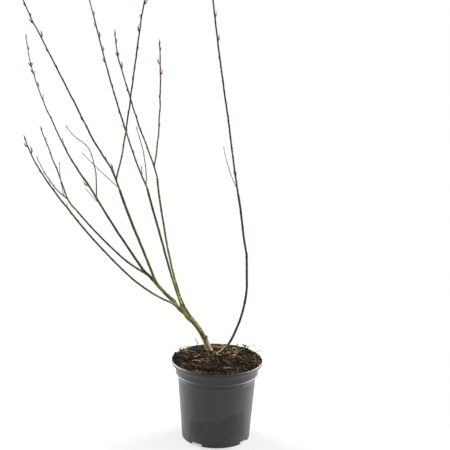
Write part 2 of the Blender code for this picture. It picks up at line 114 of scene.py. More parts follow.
class Finish:                   # one material, made on its Principled shader
    def __init__(self, name, **fixed):
        self.material = bpy.data.materials.new(name)
        self.material.use_nodes = True
        self.tree = self.material.node_tree
        self.shader = self.tree.nodes["Principled BSDF"]
        for socket, value in fixed.items():
            self.put(self.shader.inputs[socket.replace("_", " ")], value)

    def put(self, socket, value):
        if isinstance(value, Flow):
            self.tree.links.new(value.socket, socket)
        elif socket.type == "RGBA":
            socket.default_value = (*value, 1.0)
        else:
            socket.default_value = value

    def node(self, kind, settings, inputs, output=0):
        made = self.tree.nodes.new(kind)
        for key, value in settings.items():
            if key == "stops":
                ramp = made.color_ramp
                while len(ramp.elements) < len(value):
                    ramp.elements.new(0.5)
                for element, (place, colour) in zip(ramp.elements, value):
                    element.position, element.color = place, (*colour, 1.0)
            else:
                setattr(made, key, value)
        for key, value in inputs.items():
            self.put(made.inputs[key], value)
        return Flow(self, made.outputs[output])

    def maths(self, operation, first, second=0.0):
        return self.node("ShaderNodeMath", dict(operation=operation), {0: first, 1: second})

    def mixed(self, share, low, high):      # a colour between two colours
        return self.node("ShaderNodeMix", dict(data_type="RGBA"), {0: share, 6: low, 7: high}, 2)

    def ramp(self, value, stops):
        return self.node("ShaderNodeValToRGB", dict(stops=stops), {0: value})

    def step(self, value, low, high):       # 0 below low, 1 above high, smooth between
        return self.node("ShaderNodeMapRange", dict(interpolation_type="SMOOTHSTEP"),
                         {"Value": value, "From Min": low, "From Max": high})

    def mapped(self, spot, scale):
        return self.node("ShaderNodeMapping", {}, {"Vector": spot, "Scale": scale})

    def place(self, scale=(1, 1, 1)):
        return self.mapped(self.node("ShaderNodeTexCoord", {}, {}, 3), scale)

    def attribute(self, name, output=2):
        return self.node("ShaderNodeAttribute", dict(attribute_name=name), {}, output)

    def barkPlace(self, *scale):
        return self.mapped(self.attribute("barkPlace", 1), scale)

    def noise(self, spot, scale, detail=3.0, rough=0.55):
        return self.node("ShaderNodeTexNoise", {},
                         {"Vector": spot, "Scale": scale, "Detail": detail, "Roughness": rough})

    def patches(self, spot, scale, detail, low, high, rough=0.55):
        return self.step(self.noise(spot, scale, detail, rough), low, high)

    def cells(self, spot, scale):
        return self.node("ShaderNodeTexVoronoi", {}, {"Vector": spot, "Scale": scale})

    def axis(self, spot, index):
        return self.node("ShaderNodeSeparateXYZ", {}, {0: spot}, index)

    def coated(self, colour, *coats):       # each coat: where it lies, and its colour
        for share, tint in coats:
            colour = self.mixed(share, colour, tint)
        return colour

    def dress(self, colour, roughness, bump=None, strength=0.5, distance=0.001):
        self.put(self.shader.inputs["Base Color"], colour)
        self.put(self.shader.inputs["Roughness"], roughness)
        if bump is not None:
            normal = self.node("ShaderNodeBump", {},
                               {"Strength": strength, "Distance": distance, "Height": bump})
            self.put(self.shader.inputs["Normal"], normal)
        return self.material


def twoTone(name, low, high, grain, roughness, relief=None, edges=None, stretch=(1, 1, 1), **fixed):
    # a finish whose colour goes from low to high by a grain of scale, detail and roughness
    finish = Finish(name, **fixed)
    grain = finish.noise(finish.place(stretch), *grain)
    share = finish.step(grain, *edges) if edges else grain
    return finish.dress(finish.mixed(share, low, high), roughness, *((grain, *relief) if relief else ()))


# mesh helpers

def deselect():
    bpy.ops.object.select_all(action="DESELECT")


def focus(item):
    deselect()
    item.select_set(True)
    bpy.context.view_layer.objects.active = item


def named(item, name):
    item.name = item.data.name = name
    return item


def applyModifier(item, kind, **settings):
    focus(item)
    bpy.ops.object.modifier_add(type=kind)
    modifier = item.modifiers[-1]
    for key, value in settings.items():
        setattr(modifier, key, value)
    bpy.ops.object.modifier_apply(modifier=modifier.name)


def turnedForm(name, outline, sides):
    # a filled circle, lifted and widened ring by ring along an outline of radius and height
    radius, height = outline[0]
    deselect()
    bpy.ops.mesh.primitive_circle_add(vertices=sides, radius=radius, fill_type="NGON",
                                      location=(0, 0, height))
    form = named(bpy.context.object, name)
    bpy.ops.object.mode_set(mode="EDIT")
    for (oldRadius, oldHeight), (newRadius, newHeight) in zip(outline, outline[1:]):
        bpy.ops.mesh.extrude_region_move(
            TRANSFORM_OT_translate=dict(value=(0, 0, newHeight - oldHeight)))
        widened = newRadius / oldRadius
        bpy.ops.transform.resize(value=(widened, widened, 1), center_override=(0, 0, newHeight))
    bpy.ops.mesh.select_all(action="SELECT")
    bpy.ops.mesh.normals_make_consistent(inside=False)
    bpy.ops.object.mode_set(mode="OBJECT")
    bpy.ops.object.transform_apply(location=True, rotation=True, scale=True)
    return form


def corners(item):
    spots = np.zeros(len(item.data.vertices) * 3)
    item.data.vertices.foreach_get("co", spots)
    return spots.reshape(-1, 3)


def moveCorners(item, spots):
    item.data.vertices.foreach_set("co", spots.ravel())
    item.data.update()


def asArrays(item):
    # corners and triangles of a finished small form, which is then dropped
    focus(item)
    bpy.ops.object.mode_set(mode="EDIT")
    bpy.ops.mesh.select_all(action="SELECT")
    bpy.ops.mesh.quads_convert_to_tris()
    bpy.ops.object.mode_set(mode="OBJECT")
    spots = corners(item)
    faces = np.zeros(len(item.data.polygons) * 3, int)
    item.data.polygons.foreach_get("vertices", faces)
    bpy.data.objects.remove(item, do_unlink=True)
    return spots, faces.reshape(-1, 3)


class Pile:                     # parts of one joined mesh
    def __init__(self):
        self.spots, self.faces, self.slots, self.count = [], [], [], 0

    def add(self, spots, faces, slots):
        self.faces.extend([corner + self.count for corner in face] for face in faces)
        self.slots.extend([slots] * len(faces) if np.isscalar(slots) else list(slots))
        self.spots.append(spots)
        self.count += len(spots)

    def build(self, name, materials, slot, smooth=True, replaced=()):
        mesh = bpy.data.meshes.new(name)
        mesh.from_pydata(np.vstack(self.spots).tolist(), [], self.faces)
        mesh.polygons.foreach_set("material_index", self.slots)
        for material in materials:
            mesh.materials.append(material)
        if smooth:
            mesh.shade_smooth()
        mesh.update()
        item = bpy.data.objects.new(name, mesh)
        bpy.context.scene.collection.objects.link(item)
        return keep(item, slot, *replaced)


def keep(item, slot, *replaced):
    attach(item, "root")
    if replaced:
        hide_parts(*replaced)
    return item


def framed(start, way, outward, size):
    # matrix of a form that grows along +Z from a start, its +X side outwards
    side = (outward - way * way.dot(outward)).normalized()
    across = way.cross(side)
    turned = Matrix((side, across, way)).transposed().to_4x4()
    return Matrix.Translation(start) @ turned @ Matrix.Diagonal((*size, 1.0))


def stamp(pile, form, matrix, slot):
    spots, faces = form
    turned = np.array(matrix)
    pile.add(spots @ turned[:3, :3].T + turned[:3, 3], faces, slot)


# pot

pot = dict(
    height=0.166, rimRadius=0.095, bead=0.0022, rimDepth=0.0060,
    collarTop=0.1505, collarTopRadius=0.0868, collarFoot=0.1385, collarFootRadius=0.0856,
    shoulderDrop=0.0040, bodyTopRadius=0.0816, baseRadius=0.0710, wall=0.0017,
    discRadius=0.049, channel=0.0070, footRing=0.0032, channelSlope=0.0020,
    bands=(0.1322, 0.1284),     # heights of the two faint bands under the collar
    bandRise=0.00022,
    sides=144,
    notches=4, firstNotch=-33.8, notchWidth=0.0260, notchHeight=0.0053, notchDepth=0.024,
    notchEdge=0.0012,           # rounding of the notches' corners
    edge=0.00045,               # rounding of its moulded edges
)


def potOutline():
    p = pot
    foot, top, wall, bead = p["collarFoot"], p["collarTop"], p["wall"], p["bead"]
    footRadius, topRadius = p["collarFootRadius"], p["collarTopRadius"]
    baseRadius, bodyTopRadius, discRadius = p["baseRadius"], p["bodyTopRadius"], p["discRadius"]
    channel, channelFoot = p["channel"], discRadius + p["channelSlope"]
    bodyTop = foot - p["shoulderDrop"]
    beadCentre = p["rimRadius"] - bead
    rimFoot = p["height"] - p["rimDepth"]
    ringInner = baseRadius - p["footRing"]
    outline = [(discRadius, 0.0), (channelFoot, channel), (ringInner, channel), (ringInner, 0.0),
               (baseRadius, 0.0)]

    def bodyRadius(height):
        return baseRadius + (bodyTopRadius - baseRadius) * height / bodyTop

    for height in np.linspace(0.008, 0.120, 12):
        outline.append((bodyRadius(height), height))
    for band in sorted(p["bands"]):
        for offset, rise in ((-0.0007, 0.0), (-0.0003, 1.0), (0.0003, 1.0), (0.0007, 0.0)):
            outline.append((bodyRadius(band + offset) + rise * p["bandRise"], band + offset))
    outline.append((bodyTopRadius, bodyTop))
    outline += [(footRadius + out, foot + high) for out, high in (
        (-0.0008, -0.0012), (0.0007, -0.0006), (0.0009, 0.0), (0.0007, 0.0005), (0.0001, 0.0012),
        (0.0002, 0.0030))]
    outline += [(topRadius + out, top + high) for out, high in (
        (-0.0002, -0.002), (0.0003, 0.0), (0.0026, 0.0028))]
    outline += [(p["rimRadius"] - 0.0004, rimFoot - 0.0006), (p["rimRadius"], rimFoot)]
    for turn in range(0, 181, 20):
        angle = math.radians(turn)
        outline.append((beadCentre + bead * math.cos(angle), p["height"] - bead + bead * math.sin(angle)))
    outline += [(beadCentre - bead, rimFoot + wall), (topRadius - wall, top + wall),
                (footRadius - wall, foot + wall / 2), (bodyTopRadius - wall, bodyTop + wall / 2),
                (baseRadius - wall, channel + wall), (channelFoot - wall, channel + wall),
                (discRadius - wall, wall)]
    return outline


# marks on the pot's front: where water dried, and paler smudges near that line
potMarks = dict(
    lineLow=0.0500, bends=((-0.055, -0.020, 0.0085), (0.000, 0.034, 0.0145)),
    left=-0.052, right=0.059, soft=0.0024,
    smudges=((-0.0195, 0.044, 0.0105), (0.0030, 0.055, 0.0085), (0.0150, 0.066, 0.0065),
             (0.0430, 0.077, 0.0090)),      # across, height, radius
)


def potFinish():
    m, foot, top = potMarks, pot["collarFoot"], pot["height"]
    finish = Finish("potPlastic", Specular_IOR_Level=0.5)
    step, patches, place, noiseOf = finish.step, finish.patches, finish.place, finish.noise
    spot = place()
    across, depth, height = (finish.axis(spot, i) for i in range(3))
    front = step(depth, -0.010, -0.035)
    cloud = noiseOf(spot, 26, 4)
    streaks = noiseOf(place((1, 1, 0.05)), 190, 3)
    wetLine = m["lineLow"] + (cloud - 0.5) * 0.008 + (noiseOf(spot, 240, 2) - 0.5) * 0.006
    for low, high, rise in m["bends"]:
        wetLine = step(across, low, high) * rise + wetLine
    damp = step(height - wetLine, m["soft"], -m["soft"]) * front \
        * step(across, m["left"] - 0.004, m["left"]) * step(across, m["right"] + 0.006, m["right"] - 0.006)
    smudge = 0.0
    ragged = (noiseOf(spot, 120, 5, 0.8) - 0.5) * 0.026
    for x, z, radius in m["smudges"]:
        away = ((across - x) ** 2 + (height - z) ** 2) ** 0.5
        smudge = step(away + ragged, radius, radius * 0.1) * front + smudge
    faded = patches(place((1, 1, 1.4)), 150, 4, 0.40, 0.62, 0.7)
    scuff = patches(place((1, 1, 1.6)), 95, 6, 0.62, 0.74, 0.7)
    grime = step(height + (cloud - 0.5) * 0.04, 0.034, 0.008)
    specks = patches(spot, 420, 4, 0.50, 0.62, 0.7) * step(height, 0.026, 0.004)
    inCollar = step(height, foot - 0.001, foot + 0.002)
    # painted highlight: a pale line along the collar's foot ledge, where the step catches the light
    ledgeHighlight = step(height, foot - 0.0010, foot - 0.0002) * step(height, foot + 0.0013, foot + 0.0006)
    # painted reflection: the rim's lip is painted lighter, as if it reflects the light tent
    lipReflection = step(height, top - 0.0030, top - 0.0008)
    dirt = patches(place((1, 1, 2.5)), 60, 4, 0.52, 0.66) \
        * step(height, 0.128, 0.137) * step(height, 0.152, 0.146)
    left = step(across, -0.020, -0.050) * front
    # towards the left and right sides, where the painted reflection on the lip is strongest
    sides = step(across * across, 0.0012, 0.0060)
    colour = finish.coated(
        finish.mixed(streaks, (0.014, 0.014, 0.014), (0.028, 0.028, 0.0276)),
        (inCollar * 0.80, (0.0135, 0.0138, 0.0136)),
        (inCollar * left * 0.55, (0.022, 0.028, 0.030)),
        (damp * 0.74, (0.0045, 0.0045, 0.0044)),
        (smudge * faded * 0.55, (0.050, 0.051, 0.050)),
        (scuff * 0.15, (0.12, 0.12, 0.115)),
        (grime * 0.55, (0.032, 0.032, 0.018)),
        (specks * 0.55, (0.012, 0.013, 0.005)),
        (dirt * 0.45, (0.050, 0.034, 0.021)),
        # the next two coats are painted light: a highlight on the ledge and a reflection on the lip
        (ledgeHighlight * 0.80, (0.110, 0.112, 0.110)),
        (lipReflection * (sides * 0.28 + 0.18), (0.090, 0.098, 0.080)))
    roughness = 0.34 + streaks * 0.12 + grime * 0.2 + scuff * 0.1
    relief = noiseOf(place((1, 1, 0.4)), 900, 3) * 0.5 + streaks * 0.5
    return finish.dress(colour, roughness, relief, 0.12, 0.0004)


def makePot():
    p = pot
    shell = turnedForm("potShell", potOutline(), p["sides"])
    for k in range(p["notches"]):
        turn = math.radians(p["firstNotch"] + 360 * k / p["notches"])
        deselect()
        bpy.ops.mesh.primitive_cube_add(
            size=1, location=(p["baseRadius"] * math.sin(turn), -p["baseRadius"] * math.cos(turn), 0),
            rotation=(0, 0, turn), scale=(p["notchWidth"], p["notchDepth"], 2 * p["notchHeight"]))
        cutter = bpy.context.object
        bpy.ops.object.transform_apply(location=True, rotation=True, scale=True)
        bpy.ops.object.mode_set(mode="EDIT")
        bpy.ops.mesh.select_all(action="SELECT")
        bpy.ops.mesh.bevel(offset=p["notchEdge"], segments=3, affect="EDGES")
        bpy.ops.object.mode_set(mode="OBJECT")
        applyModifier(shell, "BOOLEAN", operation="DIFFERENCE", object=cutter, solver="EXACT")
        bpy.data.objects.remove(cutter, do_unlink=True)
    applyModifier(shell, "BEVEL", width=p["edge"], segments=2, limit_method="ANGLE",
                  angle_limit=math.radians(38), harden_normals=False)
    focus(shell)
    bpy.ops.object.shade_smooth_by_angle(angle=math.radians(32))
    shell.data.materials.append(potFinish())
    keep(shell, "pot_plastic", "pot")


# soil

soil = dict(
    top=0.168, flatRadius=0.060, edgeFront=0.1640, edgeBack=0.1675, edgeRadius=0.0912,
    relief=0.0052, grain=0.0020, sides=128, rings=48,
    tones=(                     # darker and lighter areas: across, deep, radius, by
        (-0.055, -0.02, 0.016, -0.45), (0.012, -0.024, 0.018, -0.5), (-0.075, 0.01, 0.016, -0.4),
        (0.055, -0.04, 0.016, -0.35), (-0.01, -0.062, 0.016, -0.25), (0.062, 0.03, 0.014, -0.3),
        (0.045, 0.07, 0.016, -0.4), (0.004, 0.066, 0.016, 0.45), (-0.06, 0.048, 0.016, 0.35),
        (0.036, 0.03, 0.018, 0.4), (-0.03, -0.035, 0.012, 0.25), (0.03, -0.06, 0.012, 0.2),
        # the last three entries, broad and at the front, are painted shade: they darken the soil by the
        # rim's front, where the rim shades it
        (-0.012, 0.018, 0.012, 0.35), (-0.02, -0.062, 0.04, -0.26), (0.045, -0.055, 0.036, -0.24),
        (-0.06, -0.03, 0.03, -0.12),
    ),
)


def soilHeight(x, y):
    radius = math.hypot(x, y)
    s = soil
    if radius <= s["flatRadius"]:
        return s["top"]
    share = min(1.0, (s["edgeRadius"] - radius) / (s["edgeRadius"] - s["flatRadius"]))
    share = max(0.0, share)
    drop = 1 - math.sin(share * math.pi / 2)
    back = 0.5 + 0.5 * y / radius
    low = s["edgeFront"] + back * (s["edgeBack"] - s["edgeFront"])
    return s["top"] + (low - s["top"]) * drop


def soilRelief(x, y):
    spot = Vector((x, y, 0))
    lumps = noise.noise(spot * 55 + Vector((3, 7, 1)))
    grain = noise.noise(spot * 210)
    return lumps * soil["relief"] * 0.5 + grain * soil["grain"]


def soilAt(x, y):
    fade = min(1.0, max(0.0, (soil["edgeRadius"] + 0.002 - math.hypot(x, y)) / 0.012))
    return soilHeight(x, y) + soilRelief(x, y) * fade


def soilTone(x, y):
    # how light the soil is at a place, about -1 to 1
    spot = Vector((x, y, 0.4))
    tone = noise.noise(spot * 95) * 1.1 + noise.noise(spot * 230) * 0.7
    for across, deep, radius, by in soil["tones"]:
        tone += by * math.exp(-((x - across) ** 2 + (y - deep) ** 2) / radius ** 2)
    return tone


def rimTop(radius):
    # height of the rim's round edge over the soil's outer part, and 0 inside it
    away = radius - (pot["rimRadius"] - pot["bead"])
    if abs(away) >= pot["bead"]:
        return 0.0
    return pot["height"] - pot["bead"] + math.sqrt(pot["bead"] ** 2 - away ** 2)


def makeSoilBody():
    s, p = soil, pot
    reach = p["wall"] + 0.0004
    bodyTop = p["collarFoot"] - p["shoulderDrop"]
    outline = [(p["discRadius"] - reach, reach),
               (p["discRadius"] + p["channelSlope"] - reach, p["channel"] + reach),
               (p["baseRadius"] - reach, p["channel"] + reach),
               (p["bodyTopRadius"] - reach, bodyTop + reach / 2),
               (p["collarFootRadius"] - reach, p["collarFoot"] + reach),
               (p["collarTopRadius"] - reach, p["collarTop"])]
    for k in range(s["rings"]):
        radius = s["edgeRadius"] * (1 - k / s["rings"])
        outline.append((radius, soilHeight(0, -radius)))
    body = turnedForm("soilBody", outline, s["sides"])
    spots = corners(body)
    for i in np.nonzero(spots[:, 2] > s["edgeFront"] - 0.0004)[0]:
        spots[i, 2] = soilAt(*spots[i, :2])
    moveCorners(body, spots)
    focus(body)
    bpy.ops.object.shade_smooth()
    # near-black body under the crumbs: partly the compost's own dark brown, partly painted shade, as it
    # shows only in the gaps between crumbs
    finish = Finish("compostAndGapShade")
    place = finish.place()
    grains = finish.noise(place, 260, 5, 0.7)
    colour = finish.ramp(grains * 0.7 + finish.noise(place, 40, 3) * 0.3,
                         ((0.38, (0.004, 0.003, 0.002)), (0.54, (0.016, 0.010, 0.005)),
                          (0.68, (0.060, 0.038, 0.017))))
    body.data.materials.append(finish.dress(colour, 0.95, grains, 0.9, 0.002))
    keep(body, "compost", "soil")


def roughForm(name, cuts, offset, uniform, seed, size):
    # the form just added, its corners moved at random and its sides brought to size
    form = named(bpy.context.object, name)
    bpy.ops.object.mode_set(mode="EDIT")
    bpy.ops.mesh.select_all(action="SELECT")
    if cuts:
        bpy.ops.mesh.subdivide(number_cuts=cuts)
    bpy.ops.transform.vertex_random(offset=offset, uniform=uniform, seed=seed)
    bpy.ops.transform.resize(value=size)
    bpy.ops.object.mode_set(mode="OBJECT")
    return form


def crumbForms(count, rng):
    forms = []
    for k in range(count):
        deselect()
        bpy.ops.mesh.primitive_ico_sphere_add(subdivisions=1 if k % 3 else 2, radius=0.5)
        size = (rng.uniform(0.9, 1.3), rng.uniform(0.7, 1.0), rng.uniform(0.55, 0.8))
        forms.append(asArrays(roughForm("crumb", 0, 0.16, 0.4, k + 1, size)))
    return forms


def chipForms(count, rng):
    # thin torn plates of bark: a flat box with its ends cut back at random and its middle bent
    forms = []
    for k in range(count):
        deselect()
        bpy.ops.mesh.primitive_cube_add(size=1)
        size = (1.0, rng.uniform(0.35, 0.6), rng.uniform(0.10, 0.2))
        chip = roughForm("chip", 2, 0.10, 0.3, k + 31, size)
        spots = corners(chip)
        spots[:, 1] *= 1 - np.abs(spots[:, 0]) * rng.uniform(0.5, 1.1)
        spots[:, 2] += rng.uniform(0.1, 0.5) * (0.25 - spots[:, 0] ** 2)
        moveCorners(chip, spots)
        forms.append(asArrays(chip))
    return forms


def plainFinish(name, colour, deep, roughness=0.9):
    colour, deep = (tuple(c * litter["shade"] for c in tint) for tint in (colour, deep))
    return twoTone(name, deep, colour, (320, 4, 0.65), roughness, (0.4, 0.0006), (0.36, 0.64),
                   Specular_IOR_Level=0.10)


litterTones = dict(             # name, colour, deeper colour and, where it has its own, roughness
    black=("crumbBlack", (0.008, 0.005, 0.003), (0.002, 0.0015, 0.001)),
    dark=("crumbDark", (0.026, 0.015, 0.007), (0.007, 0.004, 0.002)),
    brown=("crumbBrown", (0.094, 0.052, 0.021), (0.028, 0.015, 0.007)),
    reddish=("barkReddish", (0.190, 0.088, 0.038), (0.060, 0.026, 0.012)),
    violet=("barkViolet", (0.040, 0.020, 0.018), (0.012, 0.006, 0.006), 0.8),
    olive=("fibreOlive", (0.300, 0.230, 0.074), (0.122, 0.090, 0.029)),
    tan=("fibreTan", (0.390, 0.250, 0.122), (0.175, 0.106, 0.050)),
    straw=("strawGrey", (0.680, 0.590, 0.380), (0.390, 0.330, 0.195)),
    pale=("strandPale", (0.760, 0.610, 0.325), (0.420, 0.325, 0.160)),
    white=("perliteWhite", (0.900, 0.890, 0.840), (0.700, 0.680, 0.620)),
)

litter = dict(
    shade=0.74,                 # all of it is moist, and darker than its colours when dry
    seed=19, crumbs=4800, crumbSize=(0.0012, 0.0052), clods=380, clodSize=(0.0050, 0.0105),
    chips=420, chipSize=(0.005, 0.0125),
    fibres=1700, fibreLength=(0.006, 0.024), fibreThick=(0.0006, 0.0015),
    strips=260, stripLength=(0.007, 0.020), stripThick=(0.0014, 0.0026),
    perlite=14, perliteSize=(0.0010, 0.0021),
    brim=1000, brimRadius=(0.0865, 0.0936), brimSize=(0.0012, 0.0044),
    brimFibres=170, brimFibreRadius=(0.084, 0.0915),
    crumbTones=((-0.06, "black"), (0.14, "dark"), (0.40, "brown"), (0.56, "reddish"), (9.0, "tan")),
    fibreReach=0.0925,          # fibres stop at the pot's wall
)

# pieces that show in their own place on the soil, in millimetres:
# from across and deep, to across and deep, width, lift, finish
drawn = dict(
    chip=(
        (13.0, -16.0, 31.0, -44.0, 12.5, 2.0, "violet"), (-84.3, 6.0, -54.0, -2.0, 9.0, 1.5, "violet"),
        (-30.0, -18.0, -12.0, -26.0, 8.0, 1.0, "reddish"),
        (-8.0, 70.0, 12.0, 56.0, 13.0, 2.2, "reddish"), (10.0, 79.0, 19.0, 56.0, 10.0, 3.0, "reddish"),
    ),
    strand=(
        (-78.9, 65.0, -56.0, 60.0, 1.2, 3.5, "straw"), (-86.0, 34.8, -53.4, 24.0, 1.1, 2.2, "olive"),
        (-82.0, 40.0, -50.0, 32.0, 0.9, 2.8, "olive"), (-11.5, 39.8, 1.6, 14.6, 1.1, 3.0, "pale"),
        (35.3, 16.8, 59.1, 57.8, 1.0, 4.5, "olive"), (30.0, 61.0, 41.0, 50.0, 1.1, 4.0, "pale"),
        (18.0, 32.0, 27.0, 26.0, 1.1, 3.6, "pale"), (11.0, -65.5, 30.0, -64.0, 1.2, 2.0, "straw"),
        (-62.0, -42.0, -38.0, -56.0, 1.0, 2.0, "olive"), (-52.0, -20.0, -30.0, -34.0, 1.0, 2.4, "straw"),
        (70.0, 77.0, 82.0, 70.0, 0.8, 6.0, "pale"), (80.0, 44.0, 95.5, 46.0, 1.2, 4.0, "straw"),
    ),
    blade=(
        (-44.0, 84.0, -50.0, 87.0, 1.6, 12.0, "dark"),
    ),
)
# lumps in their own place, in millimetres: across, deep, width, lift, finish
lumps = (
    (60.1, -26.9, 3.8, 1.2, "white"), (72.0, -28.0, 3.4, 1.0, "white"),
    (-71.7, -19.1, 2.4, 1.0, "white"), (50.0, -12.0, 2.0, 1.0, "white"),
    (-87.8, 27.8, 7.0, 2.5, "black"), (-89.0, 20.0, 7.5, 2.0, "black"), (-89.5, 11.0, 7.0, 2.0, "dark"),
    (-89.3, 2.0, 6.5, 1.5, "black"), (-80.0, 45.0, 7.0, 3.0, "black"), (-79.0, 48.0, 5.0, 6.2, "dark"),
    (42.0, 79.0, 7.0, 2.0, "dark"), (43.0, 80.0, 4.6, 5.8, "black"), (57.0, 69.0, 9.0, 2.0, "black"),
    (60.0, 67.0, 8.0, 7.0, "black"), (64.0, 64.0, 8.5, 2.0, "dark"), (56.0, 70.0, 6.0, 8.0, "dark"),
    (65.5, 63.0, 5.5, 7.0, "black"), (-33.0, -86.0, 5.4, 4.8, "reddish"),
    (-23.0, -89.0, 6.0, 4.6, "reddish"), (-12.0, -90.5, 6.2, 4.4, "brown"),
    (-2.0, -91.0, 5.4, 4.4, "brown"), (10.0, -89.0, 5.0, 4.4, "dark"),
)

moss = dict(centre=(-0.0390, 0.0500), reach=0.0130, blades=620, height=(0.0016, 0.0042), seed=3)


def strandArrays(points, thick, sides=4):
    path = smoothPath(points, np.linalg.norm(points[-1] - points[0]) / 7)
    radii = np.full(len(path), thick / 2)
    radii[0] = radii[-1] = thick / 5
    return tubeArrays(path, radii, sides)


def makeLitter():
    rng = random.Random(litter["seed"])
    order = list(litterTones)
    materials = [plainFinish(*its) for its in litterTones.values()]
    crumbs, chips = crumbForms(9, rng), chipForms(6, rng)
    front, back, loose, flat, fine = Pile(), Pile(), Pile(), Pile(), Pile()

    def spread(reach):                      # a place on the soil, even by area
        radius, turn = reach * math.sqrt(rng.random()), rng.uniform(0, math.tau)
        return radius * math.cos(turn), radius * math.sin(turn)

    def toneOf(x, y, choice):               # darker or lighter in choice as the place is
        share = 0.36 + soilTone(x, y) * 0.50 + rng.uniform(-0.34, 0.34)
        return order.index(choice[min(len(choice) - 1, max(0, int(share * len(choice))))])

    def tumbled(tilt=math.pi):
        return Matrix.Rotation(rng.uniform(0, math.tau), 4, "Z") \
            @ Matrix.Rotation(rng.uniform(-tilt, tilt), 4, "X")

    def laid(x, y, high, turned, size):
        return Matrix.Translation((x, y, high)) @ turned @ Matrix.Diagonal((*size, 1))

    def tossed(x, y, lift, size, tilt=math.pi):
        return laid(x, y, soilAt(x, y) + lift, tumbled(tilt), size)

    for k in range(litter["crumbs"]):
        x, y = spread(soil["edgeRadius"] + 0.0004)
        low, high = litter["crumbSize"]
        size = low + (high - low) * rng.random() ** 2.6
        tone = soilTone(x, y) + rng.uniform(-0.22, 0.22)
        slot = next(name for limit, name in litter["crumbTones"] if tone < limit)
        stamp(front if y < 0 else back, crumbs[k % len(crumbs)],
              tossed(x, y, size * 0.15, (size,) * 3), order.index(slot))
    for k in range(litter["clods"]):
        x, y = spread(soil["edgeRadius"] - 0.003)
        size = rng.uniform(*litter["clodSize"])
        stamp(loose, crumbs[3 * (k % 3)], tossed(x, y, -size * 0.08, (size, size, size * 0.8)),
              toneOf(x, y, ("black", "black", "dark", "dark", "brown")))
    for k in range(litter["brim"]):         # crumbs against and on the rim
        turn = rng.uniform(0, math.tau)
        low, high = litter["brimRadius"]
        radius = low + (high - low) * rng.random() ** 1.7
        x, y = radius * math.cos(turn), radius * math.sin(turn)
        low, high = litter["brimSize"]
        size = low + (high - low) * rng.random() ** 2
        rest = max(soilHeight(x, y), rimTop(radius)) + size * 0.20
        stamp(loose, crumbs[k % len(crumbs)], laid(x, y, rest, tumbled(), (size,) * 3),
              order.index(rng.choice(("black", "dark", "dark", "brown", "reddish"))))
    for k in range(litter["chips"]):
        x, y = spread(soil["edgeRadius"] - 0.003)
        long = rng.uniform(*litter["chipSize"])
        slot = toneOf(x, y, ("black", "violet", "dark", "violet", "brown", "reddish", "tan"))
        stamp(flat, chips[k % len(chips)], tossed(x, y, 0.0010, (long,) * 3, 0.55), slot)
    for k in range(litter["fibres"] + litter["strips"] + litter["brimFibres"]):
        isStrip = litter["fibres"] <= k < litter["fibres"] + litter["strips"]
        x, y = spread(soil["edgeRadius"] - 0.002)
        turn, long = rng.uniform(0, math.tau), rng.uniform(*litter["fibreLength"])
        if isStrip:
            long = rng.uniform(*litter["stripLength"])
        elif k >= litter["fibres"]:         # these lie along the rim
            around = rng.uniform(0, math.tau)
            x, y = (rng.uniform(*litter["brimFibreRadius"]) * value
                    for value in (math.cos(around), math.sin(around)))
            turn = around + math.pi / 2 + rng.uniform(-0.7, 0.7)
        bend = rng.uniform(-0.9, 0.9)
        points = []
        for share in (-0.5, -0.17, 0.17, 0.5):
            a = turn + bend * share
            px, py = x + math.cos(a) * long * share, y + math.sin(a) * long * share
            away, reach = math.hypot(px, py), litter["fibreReach"]
            if away > reach:
                px, py = px * reach / away, py * reach / away
            ground = max(soilAt(px, py), rimTop(math.hypot(px, py)))
            points.append((px, py, ground + rng.uniform(0.0004, 0.0030)))
        slot = toneOf(x, y, ("black", "dark", "dark", "brown", "brown", "olive", "tan", "straw"))
        low, high = litter["stripThick" if isStrip else "fibreThick"]
        fine.add(*strandArrays(np.array(points), low + (high - low) * rng.random() ** 1.5), slot)
    for k in range(litter["perlite"]):
        x, y = spread(soil["edgeRadius"] - 0.004)
        size = rng.uniform(*litter["perliteSize"])
        stamp(loose, crumbs[k % len(crumbs)], tossed(x, y, size * 0.2, (size,) * 3),
              order.index("white"))
    for kind, rows in drawn.items():
        for *row, colour in rows:
            left, near, right, far, width, lift = (value / 1000 for value in row)
            middle = ((left + right) / 2, (near + far) / 2)
            slot = order.index(colour)
            if kind == "chip":
                along = Vector((right - left, far - near, 0))
                size = (along.length, width * 2, width * 1.4)
                place = Vector((*middle, soilHeight(*middle) + lift))
                stamp(flat, chips[2], framed(place, up, along, size), slot)
                continue
            rise = (0.0, 1.0, 1.2, 0.3) if kind == "strand" else (0.0, 0.4, 0.8, 1.2)
            points = []
            for share, high in zip((0, 0.33, 0.67, 1), rise):
                x = left + (right - left) * share + width * 1.5 * math.sin(share * math.pi)
                y = near + (far - near) * share
                points.append((x, y, soilHeight(x, y) + lift * high + 0.0008))
            fine.add(*strandArrays(np.array(points), width, 5), slot)
    for *row, colour in lumps:
        x, y, width, lift = (value / 1000 for value in row)
        turned = Matrix.Rotation(rng.uniform(0, math.tau), 4, "Z")
        size = (width, width * 0.85, width * 0.8)
        stamp(loose, crumbs[3], laid(x, y, soilHeight(x, y) + lift, turned, size), order.index(colour))
    for pile, name in ((front, "soilCrumbs"), (back, "soilCrumbsBack"), (loose, "soilClods"),
                       (flat, "barkChips")):
        pile.build(name, materials, "compost", smooth=False)
    fine.build("soilFibres", materials, "compost")
    makeMoss()


